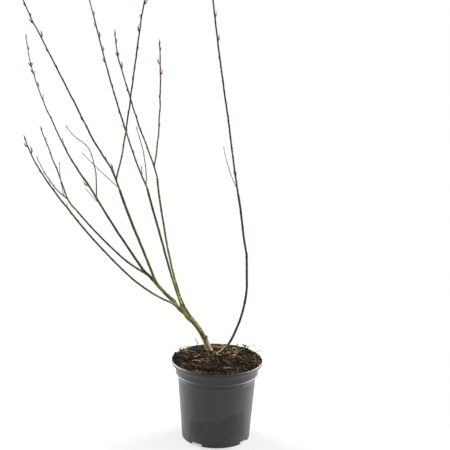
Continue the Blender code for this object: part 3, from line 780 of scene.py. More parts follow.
def makeMoss():
    green = [plainFinish("mossGreen", (0.090, 0.160, 0.030), (0.040, 0.080, 0.016)),
             plainFinish("mossDark", (0.050, 0.085, 0.022), (0.020, 0.040, 0.010))]
    tuft = Pile()
    rng = random.Random(moss["seed"])
    for k in range(moss["blades"]):
        away, turn = moss["reach"] * rng.random() ** 0.7, rng.uniform(0, math.tau)
        x = moss["centre"][0] + away * math.cos(turn) * 1.15
        y = moss["centre"][1] + away * math.sin(turn)
        high = rng.uniform(*moss["height"]) * (1.2 - away / moss["reach"] * 0.6)
        foot = np.array((x, y, soilAt(x, y)))
        lean = np.array((rng.uniform(-1, 1), rng.uniform(-1, 1), 1.6))
        tip = foot + lean / np.linalg.norm(lean) * high
        bend = (foot + tip) / 2 + (0, 0, high * 0.1)
        tuft.add(*strandArrays(np.array((foot, bend, tip)), 0.0005, 3), k % 3 % 2)
    tuft.build("mossTuft", green, "compost")


# tubes along a path

def smoothPath(points, step):
    # even steps along a curve through the points
    points = np.asarray(points, float)
    padded = np.vstack([2 * points[0] - points[1], points, 2 * points[-1] - points[-2]])
    pieces = []
    for a, b, c, d in zip(padded, padded[1:], padded[2:], padded[3:]):
        count = max(1, round(np.linalg.norm(c - b) / step))
        t = np.arange(count)[:, None] / count
        pieces.append(0.5 * (2 * b + (c - a) * t + (2 * a - 5 * b + 4 * c - d) * t ** 2
                             + (3 * b - a - 3 * c + d) * t ** 3))
    return np.vstack(pieces + [points[-1:]])


def pathWays(path):
    ways = np.gradient(path, axis=0)
    return ways / np.linalg.norm(ways, axis=1)[:, None]


def ringSides(ways):
    # two directions square to each way, the first towards the back
    back = np.array((0.0, 1.0, 0.0))
    first = back - ways * ways[:, 1:2]
    first /= np.linalg.norm(first, axis=1)[:, None]
    return first, np.cross(ways, first)


def ringOffsets(ways, radii, sides):
    first, second = ringSides(ways)
    turns = np.arange(sides) * math.tau / sides
    return (first[:, None] * np.cos(turns)[None, :, None]
            + second[:, None] * np.sin(turns)[None, :, None]) * radii[:, None, None]


def pathLengths(path):
    return np.concatenate([[0], np.cumsum(np.linalg.norm(np.diff(path, axis=0), axis=1))])


def tubeArrays(path, radii, sides, offsets=None):
    # closed tube of four-cornered faces, each end closed by triangles round a point
    ways = pathWays(path)
    if offsets is None:
        offsets = ringOffsets(ways, radii, sides)
    rings = path[:, None] + offsets
    count = len(path)
    spots = np.vstack([rings.reshape(-1, 3), path[0] - ways[0] * radii[0] * 0.4,
                       path[-1] + ways[-1] * radii[-1] * 0.8])
    k = np.arange(sides)
    nextK = (k + 1) % sides
    faces = []
    for i in range(count - 1):
        low, high = i * sides, (i + 1) * sides
        faces.append(np.stack([low + k, low + nextK, high + nextK, high + k], 1))
    faces = np.vstack(faces).tolist()
    foot, tip, last = count * sides, count * sides + 1, (count - 1) * sides
    faces += [[a, foot, b] for a, b in zip(k.tolist(), nextK.tolist())]
    faces += [[last + a, last + b, tip] for a, b in zip(k.tolist(), nextK.tolist())]
    return spots, faces


def smoothStep(value):
    value = np.clip(value, 0.0, 1.0)
    return value * value * (3 - 2 * value)


# the plant's rule of growth, as the solids have it

gap = 0.0003
rule = dict(
    stemStep=0.011, shootStep=0.018, forkLength=0.016, forkShare=0.6, forkMargin=0.0003,
    rootFlare=1.18, rootFlareLength=0.012,
    stubAt=0.31, stubLength=0.0100, stubThick=0.0056, stubLean=-22, stubSwing=-14,
    nodeSpacing=0.024, nodeKink=(0.0002, 0.0007), spurChance=0.16, spurLength=(0.007, 0.013),
    spurThick=0.0013, tipThick=0.0011, spurOpening=38, spurRoll=29, clearance=0.002,
    budLength=0.0098, budThick=0.0034, budScale=(0.80, 1.15), budOpening=19, budRoll=35,
    tipBudScale=0.80, tipBudShoot=0.0015,
    catkinLength=0.0080, catkinThick=0.0046, catkinRoll=23,
)

# a limb's thickness at foot and tip, its lean to the left and its swing to the back along it
limbs = {
    "trunk": dict(foot=(-0.0160, 0.045), length=0.090, thick=(0.0122, 0.0106),
                  leans=(21, 24, 35, 46), swings=(-6, -4)),
    "limb_left": dict(on="trunk", length=0.027, thick=(0.0082, 0.0080), leans=(36,), swings=(-6, -8)),
    "limb_left_middle": dict(on="limb_left", length=0.020, thick=(0.0078, 0.0074),
                             leans=(39,), swings=(-8,)),
    "limb_left_upper": dict(on="limb_left_middle", length=0.065, thick=(0.0078, 0.0070),
                            leans=(50, 32), swings=(-8, -12)),
    "bough_low": dict(on="limb_left_middle", length=0.260, thick=(0.0044, 0.0038),
                      leans=(62.5, 51, 41.5, 39, 36.5), swings=(-22, -14)),
    "bough_mid_left": dict(on="limb_left_upper", length=0.221, thick=(0.0057, 0.0053),
                           leans=(17, 19.5, 16), swings=(-22, -16)),
    "limb_outer": dict(on="limb_left_upper", length=0.026, thick=(0.0064, 0.0060),
                       leans=(42, 58), swings=(6, 10)),
    "bough_left": dict(on="limb_outer", length=0.165, thick=(0.0056, 0.0043),
                       leans=(33, 32, 28.5), swings=(-6, -10)),
    "bough_outer": dict(on="limb_outer", length=0.216, thick=(0.0045, 0.0039),
                        leans=(71.5, 55, 50.5, 45), swings=(32, 22)),
    "bough_centre": dict(on="limb_left", length=0.263, thick=(0.0049, 0.0051),
                         leans=(20.5, 18.5, 17.5, 18.5, 16), swings=(4, 18, 14)),
    "bough_inner": dict(on="trunk", length=0.314, thick=(0.0046, 0.0042),
                        leans=(32, 16.5, 12, 8.5, 8.5, 4.5), swings=(-6, -12, -8)),
    "stem_right_lower": dict(foot=(0.0005, 0.031), length=0.142, thick=(0.0054, 0.0047),
                             leans=(-53.5, -23.5, -17, -9), swings=(-20, -12)),
    "stem_right_middle": dict(on="stem_right_lower", length=0.107, thick=(0.0048, 0.0048),
                              leans=(-9.5, 2.5, 2), swings=(-12, -6)),
    "stem_right_upper": dict(on="stem_right_middle", length=0.127, thick=(0.0044, 0.0047),
                             leans=(12, 7, 11.5), swings=(-4, 6)),
}


def bare(**size):               # a shoot with no buds or catkins of its own
    return dict(buds=(), catkins=(), tints="", **size)


# tints has one letter for each bud: dark, tan, olive, rose, grey or yellow-green
# bark deals the shoot's colours out along it: a finish and the share of its length where it ends
masses = {
    "twigs_left": dict(on="bough_left", seed=11, shoots={
        "leader": dict(length=0.365, thick=(0.0046, 0.0036, 0.0025, 0.0021, 0.0019),
                       leans=(27, 33.5, 23.5, 22.5, 15, 4.5), swings=(-12, -4),
                       buds=(-0.135, 0.37, 0.55, 0.730, -0.807, 0.93), catkins=(0.845, -0.847),
                       tints="yddorg",
                       bark=(("olive", 0.16), ("brown", 0.72), ("rosy", 0.88), ("grey", 1.0))),
        "side": bare(on="leader", at=0.05, length=0.171, thick=(0.0027, 0.0015),
                     leans=(-1.5, 7, 19, 61.5, 35.5), swings=(12, 22),
                     bark=(("brown", 0.45), ("grey", 1.0))),
        "fine": bare(on="leader", at=0.012, length=0.045, thick=(0.0016, 0.0012),
                     leans=(48, 34, 34), swings=(-30, -24), bark=(("grey", 1.0),)),
    }),
    "twigs_mid_left": dict(on="bough_mid_left", seed=23, shoots={
        "leader": dict(length=0.430, thick=(0.0038, 0.0022), leans=(13, 31.5, 23, 24.5, 24.5, 25, 12),
                       swings=(-18, -12),
                       buds=(0.16, -0.37, 0.62, -0.70, 0.760, -0.828, 0.858, -0.905, 0.935),
                       catkins=(0.965,), tints="ddddttddt",
                       bark=(("olive", 0.22), ("dark", 0.70), ("brown", 1.0))),
        "upright": dict(on="leader", at=0.048, length=0.386, thick=(0.0034, 0.0029),
                        leans=(-14.5, -7.5, -7.5, -7.5, -14), swings=(6, -2),
                        buds=(0.25, -0.51, 0.66, -0.745, 0.88, -0.94), catkins=(-0.812,),
                        tints="dddotr", bark=(("olive", 0.30), ("dark", 0.74), ("brown", 1.0))),
        "side": bare(on="leader", at=0.006, length=0.116, thick=(0.0018, 0.0012),
                     leans=(40, 38), swings=(-40, -32), bark=(("grey", 1.0),)),
        "stub": bare(on="leader", at=0.042, length=0.030, thick=(0.0027, 0.0022),
                     leans=(17,), swings=(2,), bark=(("brown", 1.0),)),
    }),
    "twigs_centre": dict(on="bough_centre", seed=37, shoots={
        "leader": dict(length=0.478, thick=(0.0038, 0.0030), leans=(27, 20, 19, 16, 15.5, 17),
                       swings=(14, 8),
                       buds=(0.17, -0.36, 0.48, -0.595, 0.645, 0.708, -0.760, 0.812, -0.90, 0.95),
                       catkins=(0.972,), tints="dddrrottrt",
                       bark=(("olive", 0.26), ("dark", 0.55), ("brown", 0.80), ("grey", 1.0))),
        "side": bare(on="leader", at=0.012, length=0.131, thick=(0.0026, 0.0017),
                     leans=(-5, 9, 18), swings=(-18, -14), bark=(("grey", 1.0),)),
        "spur": bare(on="leader", at=0.055, length=0.022, thick=(0.0024, 0.0016),
                     leans=(7,), swings=(26,), bark=(("grey", 1.0),)),
    }),
    "twigs_inner": dict(on="bough_inner", seed=41, shoots={
        "leader": dict(length=0.300, thick=(0.0033, 0.0028), leans=(16.5, 23, 17.5, 19.5, 4.5),
                       swings=(2, 16), buds=(-0.20, 0.42, -0.60, 0.755, 0.93),
                       catkins=(0.845, -0.847), tints="dddog",
                       bark=(("olive", 0.30), ("brown", 0.88), ("grey", 1.0))),
        "upright": dict(on="leader", at=0.075, length=0.252, thick=(0.0032, 0.0025),
                        leans=(-12, -4, -1.5, 2.5), swings=(-18, -14),
                        buds=(0.35, -0.58, 0.758, -0.838, 0.94), catkins=(), tints="ddrrg",
                        bark=(("olive", 0.5), ("brown", 0.90), ("grey", 1.0))),
    }),
    "twigs_outer": dict(on="bough_outer", seed=53, shoots={
        "leader": dict(length=0.196, thick=(0.0036, 0.0023), leans=(50.5, 19.5, 24.5, 22, 26),
                       swings=(16, 10), buds=(-0.33, 0.52, -0.70), catkins=(0.86,), tints="ddd",
                       bark=(("olive", 0.25), ("brown", 1.0))),
        "side": dict(on="leader", at=0.15, length=0.135, thick=(0.0028, 0.0018),
                     leans=(65, 42, 31), swings=(34, 28), buds=(0.38, -0.68), catkins=(),
                     tints="dd", bark=(("brown", 0.7), ("grey", 1.0))),
        "fine": bare(on="side", at=0.10, length=0.075, thick=(0.0018, 0.0014),
                     leans=(13, -1), swings=(-4, -8), bark=(("grey", 1.0),)),
    }),
    "twigs_low": dict(on="bough_low", seed=67, shoots={
        "leader": dict(length=0.213, thick=(0.0040, 0.0022), leans=(34, 34.5, 28.5, 15.5),
                       swings=(-18, -10), buds=(0.086, -0.178, 0.45, -0.66, 0.85, -0.915),
                       catkins=(), tints="ddddoo", bark=(("olive", 0.3), ("brown", 1.0))),
    }),
    "twigs_right": dict(on="stem_right_upper", seed=79, shoots={
        "leader": dict(length=0.457, thick=(0.0040, 0.0034),
                       leans=(10, 8, 9.5, 8.5, 7.5, 8.5), swings=(8, 2),
                       buds=(0.08, -0.085, 0.33, -0.585, 0.66, 0.76, -0.84, 0.90, -0.95),
                       catkins=(0.975,), tints="ddddrrtrt",
                       bark=(("brown", 0.30), ("dark", 0.62), ("brown", 1.0))),
        "side": bare(on="leader", at=0.012, length=0.097, thick=(0.0018, 0.0012),
                     leans=(26, 11), swings=(-24, -16), bark=(("grey", 1.0),)),
    }),
}


def heading(lean, swing):
    lean, swing = math.radians(lean), math.radians(swing)
    return Vector((-math.sin(lean) * math.cos(swing), math.sin(swing), math.cos(lean) * math.cos(swing)))


def between(values, share):
    place = share * (len(values) - 1)
    low = min(int(place), len(values) - 1)
    high = min(low + 1, len(values) - 1)
    return values[low] + (values[high] - values[low]) * (place - low)


def stemPath(start, size, step):
    count = max(3, round(size["length"] / step))
    points = [start.copy()]
    for i in range(count):
        share = (i + 0.5) / count
        way = heading(between(size["leans"], share), between(size["swings"], share))
        points.append(points[-1] + way * size["length"] / count)
    return points


def firstWay(size):
    return heading(size["leans"][0], size["swings"][0])


def lastWay(size):
    return heading(size["leans"][-1], size["swings"][-1])


def pathPoint(points, share):
    place = share * (len(points) - 1)
    low = min(int(place), len(points) - 2)
    return points[low].lerp(points[low + 1], place - low)


def pathWay(points, share):
    low = min(int(share * (len(points) - 1)), len(points) - 2)
    return (points[low + 1] - points[low]).normalized()


def forkFeet(points, size, branches):
    way = lastWay(size)
    seat = points[-1] + way * gap
    if len(branches) == 1:
        return [seat], None
    side = firstWay(limbs[branches[1]]) - firstWay(limbs[branches[0]])
    side = (side - way * side.dot(way)).normalized()
    radii = [limbs[branch]["thick"][0] / 2 for branch in branches]
    halfWidth = radii[0] + radii[1] + gap / 2
    feet = [seat - side * (halfWidth - radii[0]), seat + side * (halfWidth - radii[1])]
    return feet, (side, halfWidth + rule["forkMargin"], max(radii) + rule["forkMargin"])


def layOutLimbs():
    starts, layout = {}, {}
    for name, size in limbs.items():
        if "foot" in size:
            starts[name] = (Vector((*size["foot"], soil["top"] + gap)), up, 0.0)
        start, footWay, grown = starts[name]
        points = stemPath(start, size, rule["stemStep"])
        branches = [other for other, its in limbs.items() if its.get("on") == name]
        spread = None
        if branches:
            feet, spread = forkFeet(points, size, branches)
            for branch, foot in zip(branches, feet):
                starts[branch] = (foot, lastWay(size), grown + size["length"])
        layout[name] = dict(points=points, footWay=footWay, spread=spread, grown=grown)
    return layout


def kinkPath(points, length, rng):
    nodes = max(2, round(length / rule["nodeSpacing"]))
    sizes = [rng.uniform(*rule["nodeKink"]) * (-1) ** k for k in range(nodes + 1)]
    sizes[0] = 0.0
    roll = rng.uniform(0, math.tau)
    sideways = Vector((math.cos(roll), math.sin(roll), 0))
    last = len(points) - 1
    return [point + sideways * between(sizes, i / last) for i, point in enumerate(points)]


def outwardOf(way, roll):
    right = Vector((1, 0, 0))
    right = (right - way * way.dot(right)).normalized()
    return right * math.cos(roll) + way.cross(right) * math.sin(roll)


def opened(way, roll, opening):
    opening = math.radians(opening)
    return (way * math.cos(opening) + outwardOf(way, roll) * math.sin(opening)).normalized()


def sideRoll(place, spread, rng):
    return (0 if place > 0 else math.pi) + math.radians(rng.uniform(-spread, spread))


def clearOfLimbs(point, layout, carrier):
    for name, place in layout.items():
        if name == carrier:
            continue
        reach = limbs[name]["thick"][0] / 2 + rule["clearance"]
        for low, high in zip(place["points"], place["points"][1:]):
            along = high - low
            share = min(1.0, max(0.0, (point - low).dot(along) / along.length_squared))
            if (low + along * share - point).length < reach:
                return False
    return True


# trunk, limbs and boughs

wood = dict(
    leftVoxel=0.00067, rightVoxel=0.00045, pathStep=0.0010, sides=28, sunk=0.004,
    collar=0.16, collarLength=0.009,        # thicker foot where a branch leaves its limb
    crook=0.00045,                          # how far a limb strays from its even line
    tipTaper=0.35, tipLength=0.003,         # a bough's tip narrows inside its shoot
    soilDepth=0.006,                        # how far a stem goes on below the soil
    webLength=0.027, webLap=0.0016,         # wood grown together above the trunk's fork
    webPart=0.010, webHighlightLift=0.12,            # how far it parts into the boughs, and what its age gains, which paints the joined wood lighter as a highlight
    nodeEvery=0.030, nodeRise=0.00050, wrinkle=0.00016, lump=0.00032,
    leftAge=((0.0, 1.0), (0.022, 0.97), (0.034, 0.82), (0.055, 0.70), (0.085, 0.62), (0.13, 0.56),
             (0.17, 0.50), (0.22, 0.36), (0.32, 0.28), (0.48, 0.20)),
    lift=dict(bough_inner=0.13, limb_left_upper=0.04, bough_mid_left=0.08),     # added to their age
    rightAge=((0.0, 1.0), (0.026, 0.94), (0.040, 0.40), (0.10, 0.28), (0.40, 0.18)),
)


def limbTube(name, layout):
    size, place = limbs[name], layout[name]
    path = smoothPath([list(point) for point in place["points"]], wood["pathStep"])
    along = pathLengths(path)
    length = along[-1]
    share = along / length
    radii = np.array([between(size["thick"], s) for s in share]) / 2
    if "foot" in size:
        radii *= 1 + (rule["rootFlare"] - 1) * smoothStep(1 - along / rule["rootFlareLength"])
    else:
        radii *= 1 + wood["collar"] * smoothStep(1 - along / wood["collarLength"])
    stray = np.array([list(noise.noise_vector(Vector((d * 38, len(name), 0.5)))) for d in along])
    fade = np.sin(np.clip(share, 0, 1) * math.pi)[:, None]
    path = path + stray * wood["crook"] * fade
    if not any(its.get("on") == name for its in limbs.values()):
        radii *= 1 - wood["tipTaper"] * smoothStep(1 - (length - along) / wood["tipLength"])
    if "on" in size:                        # its foot reaches into the limb that carries it
        back = np.array(place["footWay"]) * wood["sunk"]
        path = np.vstack([path[0] - back, path[0] - back / 2, path])
        radii = np.concatenate([[radii[0] * 0.8, radii[0] * 0.9], radii])
        along = np.concatenate([[-wood["sunk"], -wood["sunk"] / 2], along])
    else:                                   # or down into the soil
        path = np.vstack([path[0] - (0, 0, wood["soilDepth"]), path])
        radii = np.concatenate([[radii[0] * 1.05], radii])
        along = np.concatenate([[-wood["soilDepth"]], along])
    offsets = ringOffsets(pathWays(path), radii, wood["sides"])
    if place["spread"]:
        side, halfWidth, halfDepth = place["spread"]
        side = np.array(side)
        reached = smoothStep(1 - (length - along) / min(rule["forkLength"], length * rule["forkShare"]))
        across = 1 + (halfWidth / radii - 1) * reached
        deep = 1 + (np.maximum(halfDepth / radii, 1.0) - 1) * reached
        level = (offsets @ side)[:, :, None] * side
        offsets = (offsets - level) * deep[:, None, None] + level * across[:, None, None]
    return path, radii, along, offsets


def stubPlace(layout):
    start = pathPoint(layout["trunk"]["points"], rule["stubAt"])
    return start, heading(rule["stubLean"], rule["stubSwing"])


def webTubes(layout):
    # fills the narrow angle between the left limb's boughs and the inner bough
    left = smoothPath([list(p) for name in ("limb_left", "bough_centre")
                       for p in layout[name]["points"]], wood["pathStep"])
    inner = smoothPath([list(p) for p in layout["bough_inner"]["points"]], wood["pathStep"])
    count = round(wood["webLength"] / wood["pathStep"])
    parted = round(wood["webPart"] / wood["pathStep"])
    thick = (limbs["bough_centre"]["thick"][0] + limbs["bough_inner"]["thick"][0]) / 2
    left, inner = left[:count + parted], inner[:count + parted]
    middle = (left + inner) / 2
    gaps = np.linalg.norm(left[:count] - inner[:count], axis=1) - thick
    radii = np.clip(gaps / 2 + np.linspace(wood["webLap"], 0.0003, count), 0.0004, 0.0026)
    tubes = [(middle[:count], radii)]
    share = smoothStep(np.arange(parted) / (parted - 1))
    for bough in (left, inner):             # above, one part runs into each bough
        spots = middle[count:] * (1 - share[:, None]) + bough[count:] * share[:, None]
        tubes.append((spots, radii[-1] * (1 - share) + thick * 0.40 * share))
    return tubes


def ageSamples(path, grown, lift):
    # points of a limb's middle line: place, length grown to there, two sides, what its age gains
    return list(zip(path, grown, *ringSides(pathWays(path)), [lift] * len(path)))


def threes(items, key):
    values = np.zeros(len(items) * 3)
    items.foreach_get(key, values)
    return values.reshape(-1, 3)


def growWood(name, members, voxel, ages, layout, materials):
    pile = Pile()
    samples = []
    for member in members:
        path, radii, along, offsets = limbTube(member, layout)
        pile.add(*tubeArrays(path, radii, wood["sides"], offsets), 0)
        samples += ageSamples(path, along + layout[member]["grown"], wood["lift"].get(member, 0.0))
    webFrom = len(samples)
    if "trunk" in members:
        start, way = stubPlace(layout)
        path = np.array([list(start + way * rule["stubLength"] * s) for s in (0, 0.4, 0.8, 1.0)])
        radii = rule["stubThick"] / 2 * np.array((1.45, 1.25, 1.20, 1.15))
        pile.add(*tubeArrays(path, radii, 20), 0)
        for path, radii in webTubes(layout):
            pile.add(*tubeArrays(path, radii, 16), 0)
            grown = layout["bough_inner"]["grown"] + np.arange(len(path)) * wood["pathStep"]
            samples += ageSamples(path, grown, wood["webHighlightLift"])
    item = pile.build(name, materials, "trunk_bark" if "trunk" in members else "bough_bark",
                      replaced=members)
    applyModifier(item, "REMESH", mode="VOXEL", voxel_size=voxel, adaptivity=0)
    applyModifier(item, "SMOOTH", factor=0.5, iterations=5)

    # bark relief, and for the finish each corner's place on the bark and its age
    tree = KDTree(len(samples))
    for i, sample in enumerate(samples):
        tree.insert(sample[0], i)
    tree.balance()
    spots = corners(item)
    normals = threes(item.data.vertices, "normal")
    nearest = np.array([tree.find(spot)[1] for spot in spots])
    centre, grown, first, second, lift = (np.array(values)[nearest] for values in zip(*samples))
    away = spots - centre
    barkPlace = np.stack([(away * first).sum(1), (away * second).sum(1), grown], 1)
    age = np.interp(grown, *zip(*ages)) + lift
    rise = np.zeros(len(spots))
    for i, (x, y, z) in enumerate(barkPlace):
        wrinkle = noise.noise(Vector((x * 900, y * 900, z * 150)))
        lump = noise.noise(Vector((x * 90, y * 90, z * 85)))
        rise[i] = wrinkle * wood["wrinkle"] * (0.4 + age[i]) + lump * wood["lump"] * (0.35 + age[i])
    phase = (grown / wood["nodeEvery"] + 0.35) % 1.0
    ring = np.exp(-((phase - 0.5) * wood["nodeEvery"] / 0.0011) ** 2)
    facing = 0.5 + 0.5 * np.cos(np.arctan2(barkPlace[:, 1], barkPlace[:, 0])
                                - np.floor(grown / wood["nodeEvery"] + 0.35) * 2.4)
    rise += ring * wood["nodeRise"] * (0.35 + 0.65 * facing) * (age < 0.7)
    moveCorners(item, spots + normals * rise[:, None])
    for key, kind, field, values in (
            ("barkPlace", "FLOAT_VECTOR", "vector", barkPlace.ravel()), ("age", "FLOAT", "value", age),
            # the third attribute marks the joined wood above the fork, where the finish paints a highlight
            ("grownTogether", "FLOAT", "value", (nearest >= webFrom).astype(float))):
        item.data.attributes.new(key, kind, "POINT").data.foreach_set(field, values)
    if "trunk" in members:                  # the stub's cut face is bare wood
        start, way = stubPlace(layout)
        end = np.array(start + way * rule["stubLength"])
        polygons = item.data.polygons
        near = np.linalg.norm(threes(polygons, "center") - end, axis=1) < rule["stubThick"] * 0.62
        cut = near & (threes(polygons, "normal") @ np.array(way) > 0.80)
        item.data.polygons.foreach_set("material_index", cut.astype(int))
    focus(item)
    bpy.ops.object.shade_smooth()


def barkFinish():
    finish = Finish("willowBark", Specular_IOR_Level=0.20)
    step = finish.step

    def grain(across, along, detail, rough=0.55):
        return finish.noise(finish.barkPlace(across, across, along), 1.0, detail, rough)

    fine = grain(900, 170, 4, 0.6)
    broad = grain(190, 60, 3)
    age = finish.attribute("age")
    toned = age + (broad - 0.5) * 0.36 + (fine - 0.5) * 0.14
    side = finish.axis(finish.barkPlace(1, 1, 1), 1)        # towards the lower side of the lean
    upper = step(side + (broad - 0.5) * 0.006, 0.0012, -0.0022)
    old = step(age, 0.50, 0.60) * step(age, 0.96, 0.86)
    fleck = step(grain(430, 150, 3), 0.50, 0.60)
    blotch = step(grain(210, 95, 3), 0.50, 0.58) * step(age, 0.44, 0.54)
    lit = step(grain(290, 42, 2), 0.54, 0.62) * step(age, 0.46, 0.60)
    streak = step(grain(700, 60, 2), 0.56, 0.70)
    dots = step(finish.cells(finish.barkPlace(300, 300, 210), 1.0), 0.20, 0.10)
    colour = finish.coated(
        finish.ramp(toned, (
            (0.10, (0.036, 0.022, 0.008)), (0.26, (0.040, 0.030, 0.009)),
            (0.40, (0.062, 0.061, 0.016)), (0.52, (0.142, 0.150, 0.036)),
            (0.68, (0.186, 0.184, 0.054)), (0.80, (0.215, 0.160, 0.042)),
            (0.92, (0.205, 0.160, 0.075)), (1.02, (0.310, 0.250, 0.128)))),
        (fleck * (upper * 0.75 + 0.18) * old, (0.030, 0.016, 0.016)),
        (blotch * 0.74, (0.032, 0.024, 0.012)),
        (lit * 0.60, (0.370, 0.360, 0.160)),
        # painted highlight: the wood grown together above the fork is painted pale olive, as the band of
        # light along it
        (finish.attribute("grownTogether") * (fine * 0.5 + 0.40), (0.310, 0.315, 0.135)),
        (streak * 0.40, (0.024, 0.018, 0.009)),
        (dots * 0.38, (0.260, 0.210, 0.120)))
    return finish.dress(colour, 0.62 + fine * 0.25, fine * 0.7 + dots * 0.5, 0.55, 0.0005)


def cutWoodFinish():
    return twoTone("cutWood", (0.330, 0.130, 0.045), (0.520, 0.270, 0.110), (900, 2), 0.7, (0.3, 0.0004))


# shoots, buds and catkins

twig = dict(
    step=0.0016, sides=10, fineSides=8, footFlare=0.45, footLength=0.006,
    swell=0.30, swellLength=0.0019,         # thicker node under a bud
    crook=0.00028,
    dormant=(0.0024, 0.0036), dormantThick=0.0013, dormantOpening=7, spiral=144,
    dormantSpacing=0.92,                    # of the spacing of the source's nodes
    sunk=0.004,                             # how far a leader's foot reaches into its bough
    fineFrom=0.0026,                        # thickness from which a shoot has more sides and fine twigs
    fineChance=0.05, fineLength=(0.007, 0.014), fineThick=(0.0010, 0.0007), fineOpening=30,
    budSize=dict(d=0.60, t=1.35, o=1.30, r=1.22, g=0.85, y=1.35),    # by tint
    catkinOpening=33, catkinFullness=0.74,      # the catkins are small and still opening
    hairs=820, hairLength=(0.0010, 0.0019), hairThick=0.00011,
)


def budForm():
    # one bud scale, closed, flat on the side of the shoot and drawn out to a point
    outline = ((0.10, 0.0), (0.34, 0.05), (0.46, 0.14), (0.50, 0.30), (0.47, 0.48), (0.38, 0.66),
               (0.24, 0.82), (0.11, 0.94), (0.02, 1.0))
    bud = turnedForm("budForm", outline, 10)
    spots = corners(bud)
    high = spots[:, 2]
    inner = spots[:, 0] < 0
    spots[inner, 0] *= 0.55
    spots[:, 0] += 0.20 * np.sin(high * math.pi) - 0.30 * high ** 2 + 0.10
    moveCorners(bud, spots)
    return asArrays(bud)


def catkinForm():
    outline = ((0.16, 0.0), (0.34, 0.10), (0.46, 0.26), (0.50, 0.46), (0.46, 0.66), (0.34, 0.84),
               (0.16, 0.96), (0.03, 1.0))
    return asArrays(turnedForm("catkinForm", outline, 12))


def capForm():
    # the bud scale that stays round a catkin's foot
    outline = ((0.14, 0.0), (0.36, 0.08), (0.50, 0.20), (0.56, 0.34), (0.52, 0.35), (0.46, 0.22),
               (0.10, 0.10))
    cap = turnedForm("capForm", outline, 12)
    spots = corners(cap)
    spots[:, 2] += np.where(spots[:, 0] < 0, -0.20 * spots[:, 0], 0.0) * (spots[:, 2] > 0.15)
    moveCorners(cap, spots)
    return asArrays(cap)


def twigFinishes():
    tones = dict(
        dark=((0.036, 0.023, 0.010), (0.018, 0.011, 0.005)),
        brown=((0.080, 0.047, 0.020), (0.038, 0.022, 0.010)),
        rosy=((0.140, 0.056, 0.032), (0.066, 0.026, 0.016)),
        olive=((0.098, 0.082, 0.022), (0.048, 0.040, 0.012)),
        grey=((0.180, 0.140, 0.100), (0.095, 0.072, 0.052)),
    )
    finishes = {}
    for name, (light, deep) in tones.items():
        finish = Finish(name + "Twig", Specular_IOR_Level=0.20)
        grain = finish.noise(finish.place(), 420, 4, 0.6)
        patch = finish.noise(finish.place(), 55, 2)
        tone = finish.mixed(finish.step(grain * 0.6 + patch * 0.4, 0.38, 0.62), deep, light)
        finishes[name] = finish.dress(tone, 0.60 + grain * 0.2, grain, 0.35, 0.0003)
    return finishes


def budFinishes():
    tones = dict(
        d=((0.075, 0.045, 0.022), (0.036, 0.021, 0.011)),
        t=((0.400, 0.215, 0.120), (0.190, 0.092, 0.050)),
        o=((0.200, 0.150, 0.060), (0.100, 0.072, 0.032)),
        r=((0.360, 0.130, 0.105), (0.170, 0.055, 0.042)),
        g=((0.200, 0.175, 0.140), (0.120, 0.100, 0.080)),
        y=((0.260, 0.290, 0.060), (0.110, 0.120, 0.026)),
    )
    return {name: twoTone("budScale" + name.upper(), deep, light, (700, 3), 0.42, (0.2, 0.0003),
                          stretch=(1, 1, 0.5), Specular_IOR_Level=0.5)
            for name, (light, deep) in tones.items()}


def shootTube(pile, points, size, footWay, swellings, slots, sides):
    path = smoothPath([list(point) for point in points], twig["step"])
    along = pathLengths(path)
    share = along / along[-1]
    radii = np.array([between(size["thick"], s) for s in share]) / 2
    if "on" in size:
        radii *= 1 + twig["footFlare"] * smoothStep(1 - along / twig["footLength"])
    else:                                   # a leader starts inside its bough's tip
        back = np.array(footWay) * twig["sunk"]
        path = np.vstack([path[0] - back, path[0] - back / 2, path])
        radii = np.concatenate([[radii[0] * 0.7, radii[0] * 0.93], radii])
        along = np.concatenate([[-twig["sunk"], -twig["sunk"] / 2], along])
        share = along / along[-1]
    for place, outward, scale in swellings:
        bump = np.exp(-((along - place * along[-1]) / twig["swellLength"]) ** 2) * scale
        radii = radii * (1 + twig["swell"] * bump)
        path = path + np.array(outward) * (radii * 0.30 * bump)[:, None]
    stray = np.array([list(noise.noise_vector(Vector((d * 60, points[0].x * 40, 2.5)))) for d in along])
    path = path + stray * twig["crook"] * np.sin(np.clip(share, 0, 1) * math.pi)[:, None]
    spots, faces = tubeArrays(path, radii, sides)
    ring = np.repeat(share[:-1], sides)
    dealt = np.searchsorted([end for _, end in size["bark"]], ring, side="left")
    names = [slots.index(size["bark"][min(i, len(size["bark"]) - 1)][0]) for i in dealt]
    names += [names[0]] * sides + [names[-1]] * sides
    pile.add(spots, faces, names)


def stand(points, share, roll, opening):
    # a place on a shoot's middle line, the way that grows out there, and its side of the shoot
    way = pathWay(points, share)
    return pathPoint(points, share), opened(way, roll, opening), outwardOf(way, roll)


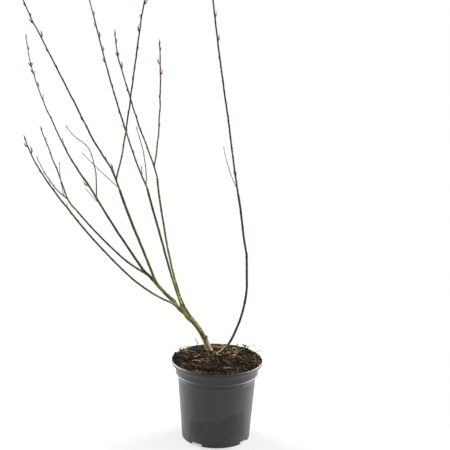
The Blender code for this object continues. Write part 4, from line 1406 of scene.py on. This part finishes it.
def growShoot(points, size, rng, fineRng, isClear, parts):
    # buds, catkins and spurs by the source's draws; then dormant buds and finer twigs
    swellings, used = [], []
    for place, tint in zip(size["buds"], size["tints"]):
        share = abs(place)
        roll = sideRoll(place, rule["budRoll"], rng)
        scale = rng.uniform(*rule["budScale"]) * twig["budSize"][tint]
        start, way, outward = stand(points, share, roll, rule["budOpening"])
        if not isClear(start + way * rule["budLength"]):
            continue
        radius = between(size["thick"], share) / 2
        parts["buds"].append((start + outward * radius * 0.55, way, outward, rule["budLength"] * scale,
                              rule["budThick"] * scale, tint))
        swellings.append((share, outward, 1.0))
        used.append(share)
    for place in size["catkins"]:
        share = abs(place)
        roll = sideRoll(place, rule["catkinRoll"], rng)
        start, way, outward = stand(points, share, roll, twig["catkinOpening"])
        parts["catkins"].append((start + outward * 0.0005, way, outward))
        swellings.append((share, outward, 0.9))
        used.append(share)
    for node in range(2, round(size["length"] / rule["nodeSpacing"]) - 1):
        chance = rng.random()
        roll = rng.choice((-1, 1)) * math.pi / 2 \
            + math.radians(rng.uniform(-rule["spurRoll"], rule["spurRoll"]))
        length = rng.uniform(*rule["spurLength"])
        if chance > rule["spurChance"]:
            continue
        share = node * rule["nodeSpacing"] / size["length"]
        start, way, outward = stand(points, share, roll, rule["spurOpening"])
        if isClear(start + way * length):
            parts["spurs"].append((start, way, length, rule["spurThick"], rule["tipThick"]))
            swellings.append((share, outward, 0.7))
            used.append(share)
    tipWay = pathWay(points, 1.0)
    scale = rule["tipBudScale"] * size["thick"][-1] / rule["tipBudShoot"]
    tint = size["tints"][-1] if size["tints"] else "g"
    parts["buds"].append((points[-1] - tipWay * rule["budLength"] * scale * 0.42, tipWay,
                          outwardOf(tipWay, 0.6), rule["budLength"] * scale,
                          rule["budThick"] * scale * 0.85, tint))

    roll = fineRng.uniform(0, math.tau)
    count = int(size["length"] / (rule["nodeSpacing"] * twig["dormantSpacing"]))
    for node in range(1, count + 1):
        share = (node + fineRng.uniform(-0.15, 0.15)) * rule["nodeSpacing"] \
            * twig["dormantSpacing"] / size["length"]
        roll += math.radians(twig["spiral"])
        length = fineRng.uniform(*twig["dormant"])
        chance = fineRng.random()
        room = 0.010 / size["length"]
        if share > 0.97 or any(abs(share - other) < room for other in used):
            continue
        start, spurWay, outward = stand(points, share, roll, twig["fineOpening"])
        radius = between(size["thick"], share) / 2
        slim = min(1.0, radius / 0.0011)
        if chance < twig["fineChance"] and 0.2 < share < 0.8 and size["thick"][0] > twig["fineFrom"]:
            spurLength = fineRng.uniform(*twig["fineLength"])
            if isClear(start + spurWay * spurLength):
                parts["spurs"].append((start, spurWay, spurLength, *twig["fineThick"]))
        else:
            way = opened(pathWay(points, share), roll, twig["dormantOpening"])
            parts["buds"].append((start + outward * radius * 0.75, way, outward, length * slim,
                                  twig["dormantThick"] * slim, "d"))
        swellings.append((share, outward, 0.55))
    return swellings


def addSpur(pile, start, way, length, thick, tipThick, slot, buds):
    side = outwardOf(way, 1.0)
    bend = way.lerp(up, 0.22).normalized()
    path = np.array([list(start), list(start + way * length * 0.5 + side * 0.0003),
                     list(start + (way + bend).normalized() * length)])
    path = smoothPath(path, twig["step"])
    radii = np.linspace(thick * 0.62, tipThick / 2, len(path))
    pile.add(*tubeArrays(path, radii, twig["fineSides"]), slot)
    tip, tipWay = Vector(path[-1]), (Vector(path[-1]) - Vector(path[-2])).normalized()
    buds.append((tip - tipWay * 0.0012, tipWay, side, 0.0040, 0.0015, "d"))


def makeShoots(layout):
    barks = twigFinishes()
    slots = list(barks)
    scales = budFinishes()
    tintOrder = list(scales)
    bud, catkin, cap = budForm(), catkinForm(), capForm()
    budPile, corePile, hairPile = Pile(), Pile(), Pile()
    hairRng = random.Random(71)
    catkinCount = 0
    for name, mass in masses.items():
        carrier = mass["on"]
        carrierWay = lastWay(limbs[carrier])
        rng, fineRng = random.Random(mass["seed"]), random.Random(mass["seed"] + 1000)

        def isClear(point):
            return clearOfLimbs(point, layout, carrier)

        paths = {}
        pile = Pile()
        parts = dict(buds=[], catkins=[], spurs=[])
        for shoot, size in mass["shoots"].items():
            if "on" in size:
                start, footWay = pathPoint(paths[size["on"]], size["at"]), firstWay(size)
            else:
                start, footWay = layout[carrier]["points"][-1] + carrierWay * gap, carrierWay
            points = kinkPath(stemPath(start, size, rule["shootStep"]), size["length"], rng)
            paths[shoot] = points
            swellings = growShoot(points, size, rng, fineRng, isClear, parts)
            sides = twig["sides"] if size["thick"][0] > twig["fineFrom"] else twig["fineSides"]
            shootTube(pile, points, size, footWay, swellings, slots, sides)
        for spur in parts["spurs"]:
            addSpur(pile, *spur, slots.index("grey"), parts["buds"])
        for start, way, outward, length, thick, tint in parts["buds"]:
            stamp(budPile, bud, framed(start, way, outward, (thick, thick, length)),
                  tintOrder.index(tint))
        for start, way, outward in parts["catkins"]:
            full = twig["catkinFullness"]
            size = (rule["catkinThick"] * full, rule["catkinThick"] * full, rule["catkinLength"] * full)
            stamp(corePile, catkin, framed(start, way, outward, size), 0)
            stamp(corePile, cap, framed(start - way * 0.0006, way, outward, size), 1)
            growHair(hairPile, start, way, outward, hairRng)
        catkinCount += len(parts["catkins"])
        pile.build(name.replace("twigs_", "shoots_"), list(barks.values()), "twig_bark",
                   replaced=(name,))
    budPile.build("willowBuds", list(scales.values()), "twig_bark")
    core = Finish("catkinCore", Subsurface_Weight=0.1)
    corePile.build("catkinCores", [
        core.dress(core.mixed(core.noise(core.place(), 900, 2), (0.66, 0.36, 0.40), (0.82, 0.56, 0.58)),
                   0.8, core.noise(core.place(), 1400, 2), 0.5, 0.0005),
        scales["d"]], "twig_bark")
    hairPile.build("catkinHairs", [
        twoTone("catkinHair" + name, low, high, (300,), 0.7, Sheen_Weight=0.3) for name, low, high in (
            ("Silver", (0.70, 0.50, 0.50), (0.86, 0.74, 0.73)),
            ("Rose", (0.64, 0.30, 0.34), (0.79, 0.49, 0.52)))], "twig_bark", smooth=False)
    print("shoots:", catkinCount, "catkins")


def growHair(pile, start, way, outward, rng):
    # fine hairs of three sides that stand off a catkin, swept to its tip
    side = (outward - way * way.dot(outward)).normalized()
    across = way.cross(side)
    full = twig["catkinFullness"]
    half = rule["catkinThick"] * full * 0.44
    length = rule["catkinLength"] * full
    for k in range(twig["hairs"]):
        share = rng.uniform(0.10, 0.98)
        turn = rng.uniform(0, math.tau)
        girth = math.sin(math.pi * (0.12 + 0.80 * share)) ** 0.7
        normal = side * math.cos(turn) + across * math.sin(turn)
        root = start + way * length * share + normal * half * girth * 0.92
        aim = (normal * (0.9 - 0.5 * share) + way * (0.65 + 0.6 * share)
               + Vector([rng.uniform(-1, 1) for _ in range(3)]) * 0.22).normalized()
        tip = root + aim * rng.uniform(*twig["hairLength"])
        first = aim.orthogonal().normalized() * twig["hairThick"]
        second = aim.cross(first)
        spots = np.array([list(root + first), list(root - first * 0.5 + second * 0.87),
                          list(root - first * 0.5 - second * 0.87), list(tip)])
        pile.add(spots, [[0, 1, 3], [1, 2, 3], [2, 0, 3], [2, 1, 0]], 1 if rng.random() < 0.45 else 0)


# stage

def makeStage():
    wide, small = studio["floorSize"] / 2, studio["sheetSize"] / 2
    for name, reach, back, height, glow in (
            ("floor", wide, wide, -0.0006, studio["floorGlow"]),
            ("sheet", small, studio["sheetEdge"], -0.0002, studio["sheetGlow"])):
        finish = Finish(name + "White", Base_Color=[studio["floorColour"]] * 3, Roughness=0.9,
                        Emission_Color=(1.0, 1.0, 1.0), Emission_Strength=glow)
        deselect()
        bpy.ops.mesh.primitive_plane_add(size=1, location=(0, (back - reach) / 2, height),
                                         scale=(2 * reach, back + reach, 1))
        bpy.ops.object.transform_apply(location=True, rotation=True, scale=True)
        plane = named(bpy.context.object, name)
        plane.data.materials.append(finish.material)
    for k, (place, width, watts) in enumerate(studio["lamps"]):
        aim = Vector(studio["aim"]) - Vector(place)
        bpy.ops.object.light_add(type="AREA", location=place,
                                 rotation=aim.to_track_quat("-Z", "Y").to_euler())
        lamp = bpy.context.object
        lamp.name = "softLamp%d" % k
        lamp.data.size = width
        lamp.data.energy = watts
    world = bpy.data.worlds.new("lightTent")
    bpy.context.scene.world = world
    world.use_nodes = True
    tree = world.node_tree
    background = tree.nodes["Background"]
    background.inputs["Color"].default_value = (1.0, 1.0, 1.0, 1.0)
    seen = tree.nodes.new("ShaderNodeLightPath")
    strength = tree.nodes.new("ShaderNodeMix")
    strength.inputs[2].default_value = studio["sky"]
    strength.inputs[3].default_value = studio["backdrop"]
    tree.links.new(seen.outputs["Is Camera Ray"], strength.inputs[0])
    tree.links.new(strength.outputs[0], background.inputs["Strength"])
    bpy.context.scene.view_settings.view_transform = "Standard"


addCamera()
makeStage()
print("camera, light and floor ready")
makePot()
print("pot ready")
makeSoilBody()
makeLitter()
print("soil ready")
limbLayout = layOutLimbs()
bark = [barkFinish(), cutWoodFinish()]
rightStem = [name for name in limbs if name.startswith("stem_right")]
leftWood = [name for name in limbs if name not in rightStem]
growWood("leftWood", leftWood, wood["leftVoxel"], wood["leftAge"], limbLayout, bark)
growWood("rightStem", rightStem, wood["rightVoxel"], wood["rightAge"], limbLayout, bark[:1])
print("trunk and boughs ready")
makeShoots(limbLayout)
print("twigs, buds and catkins ready")
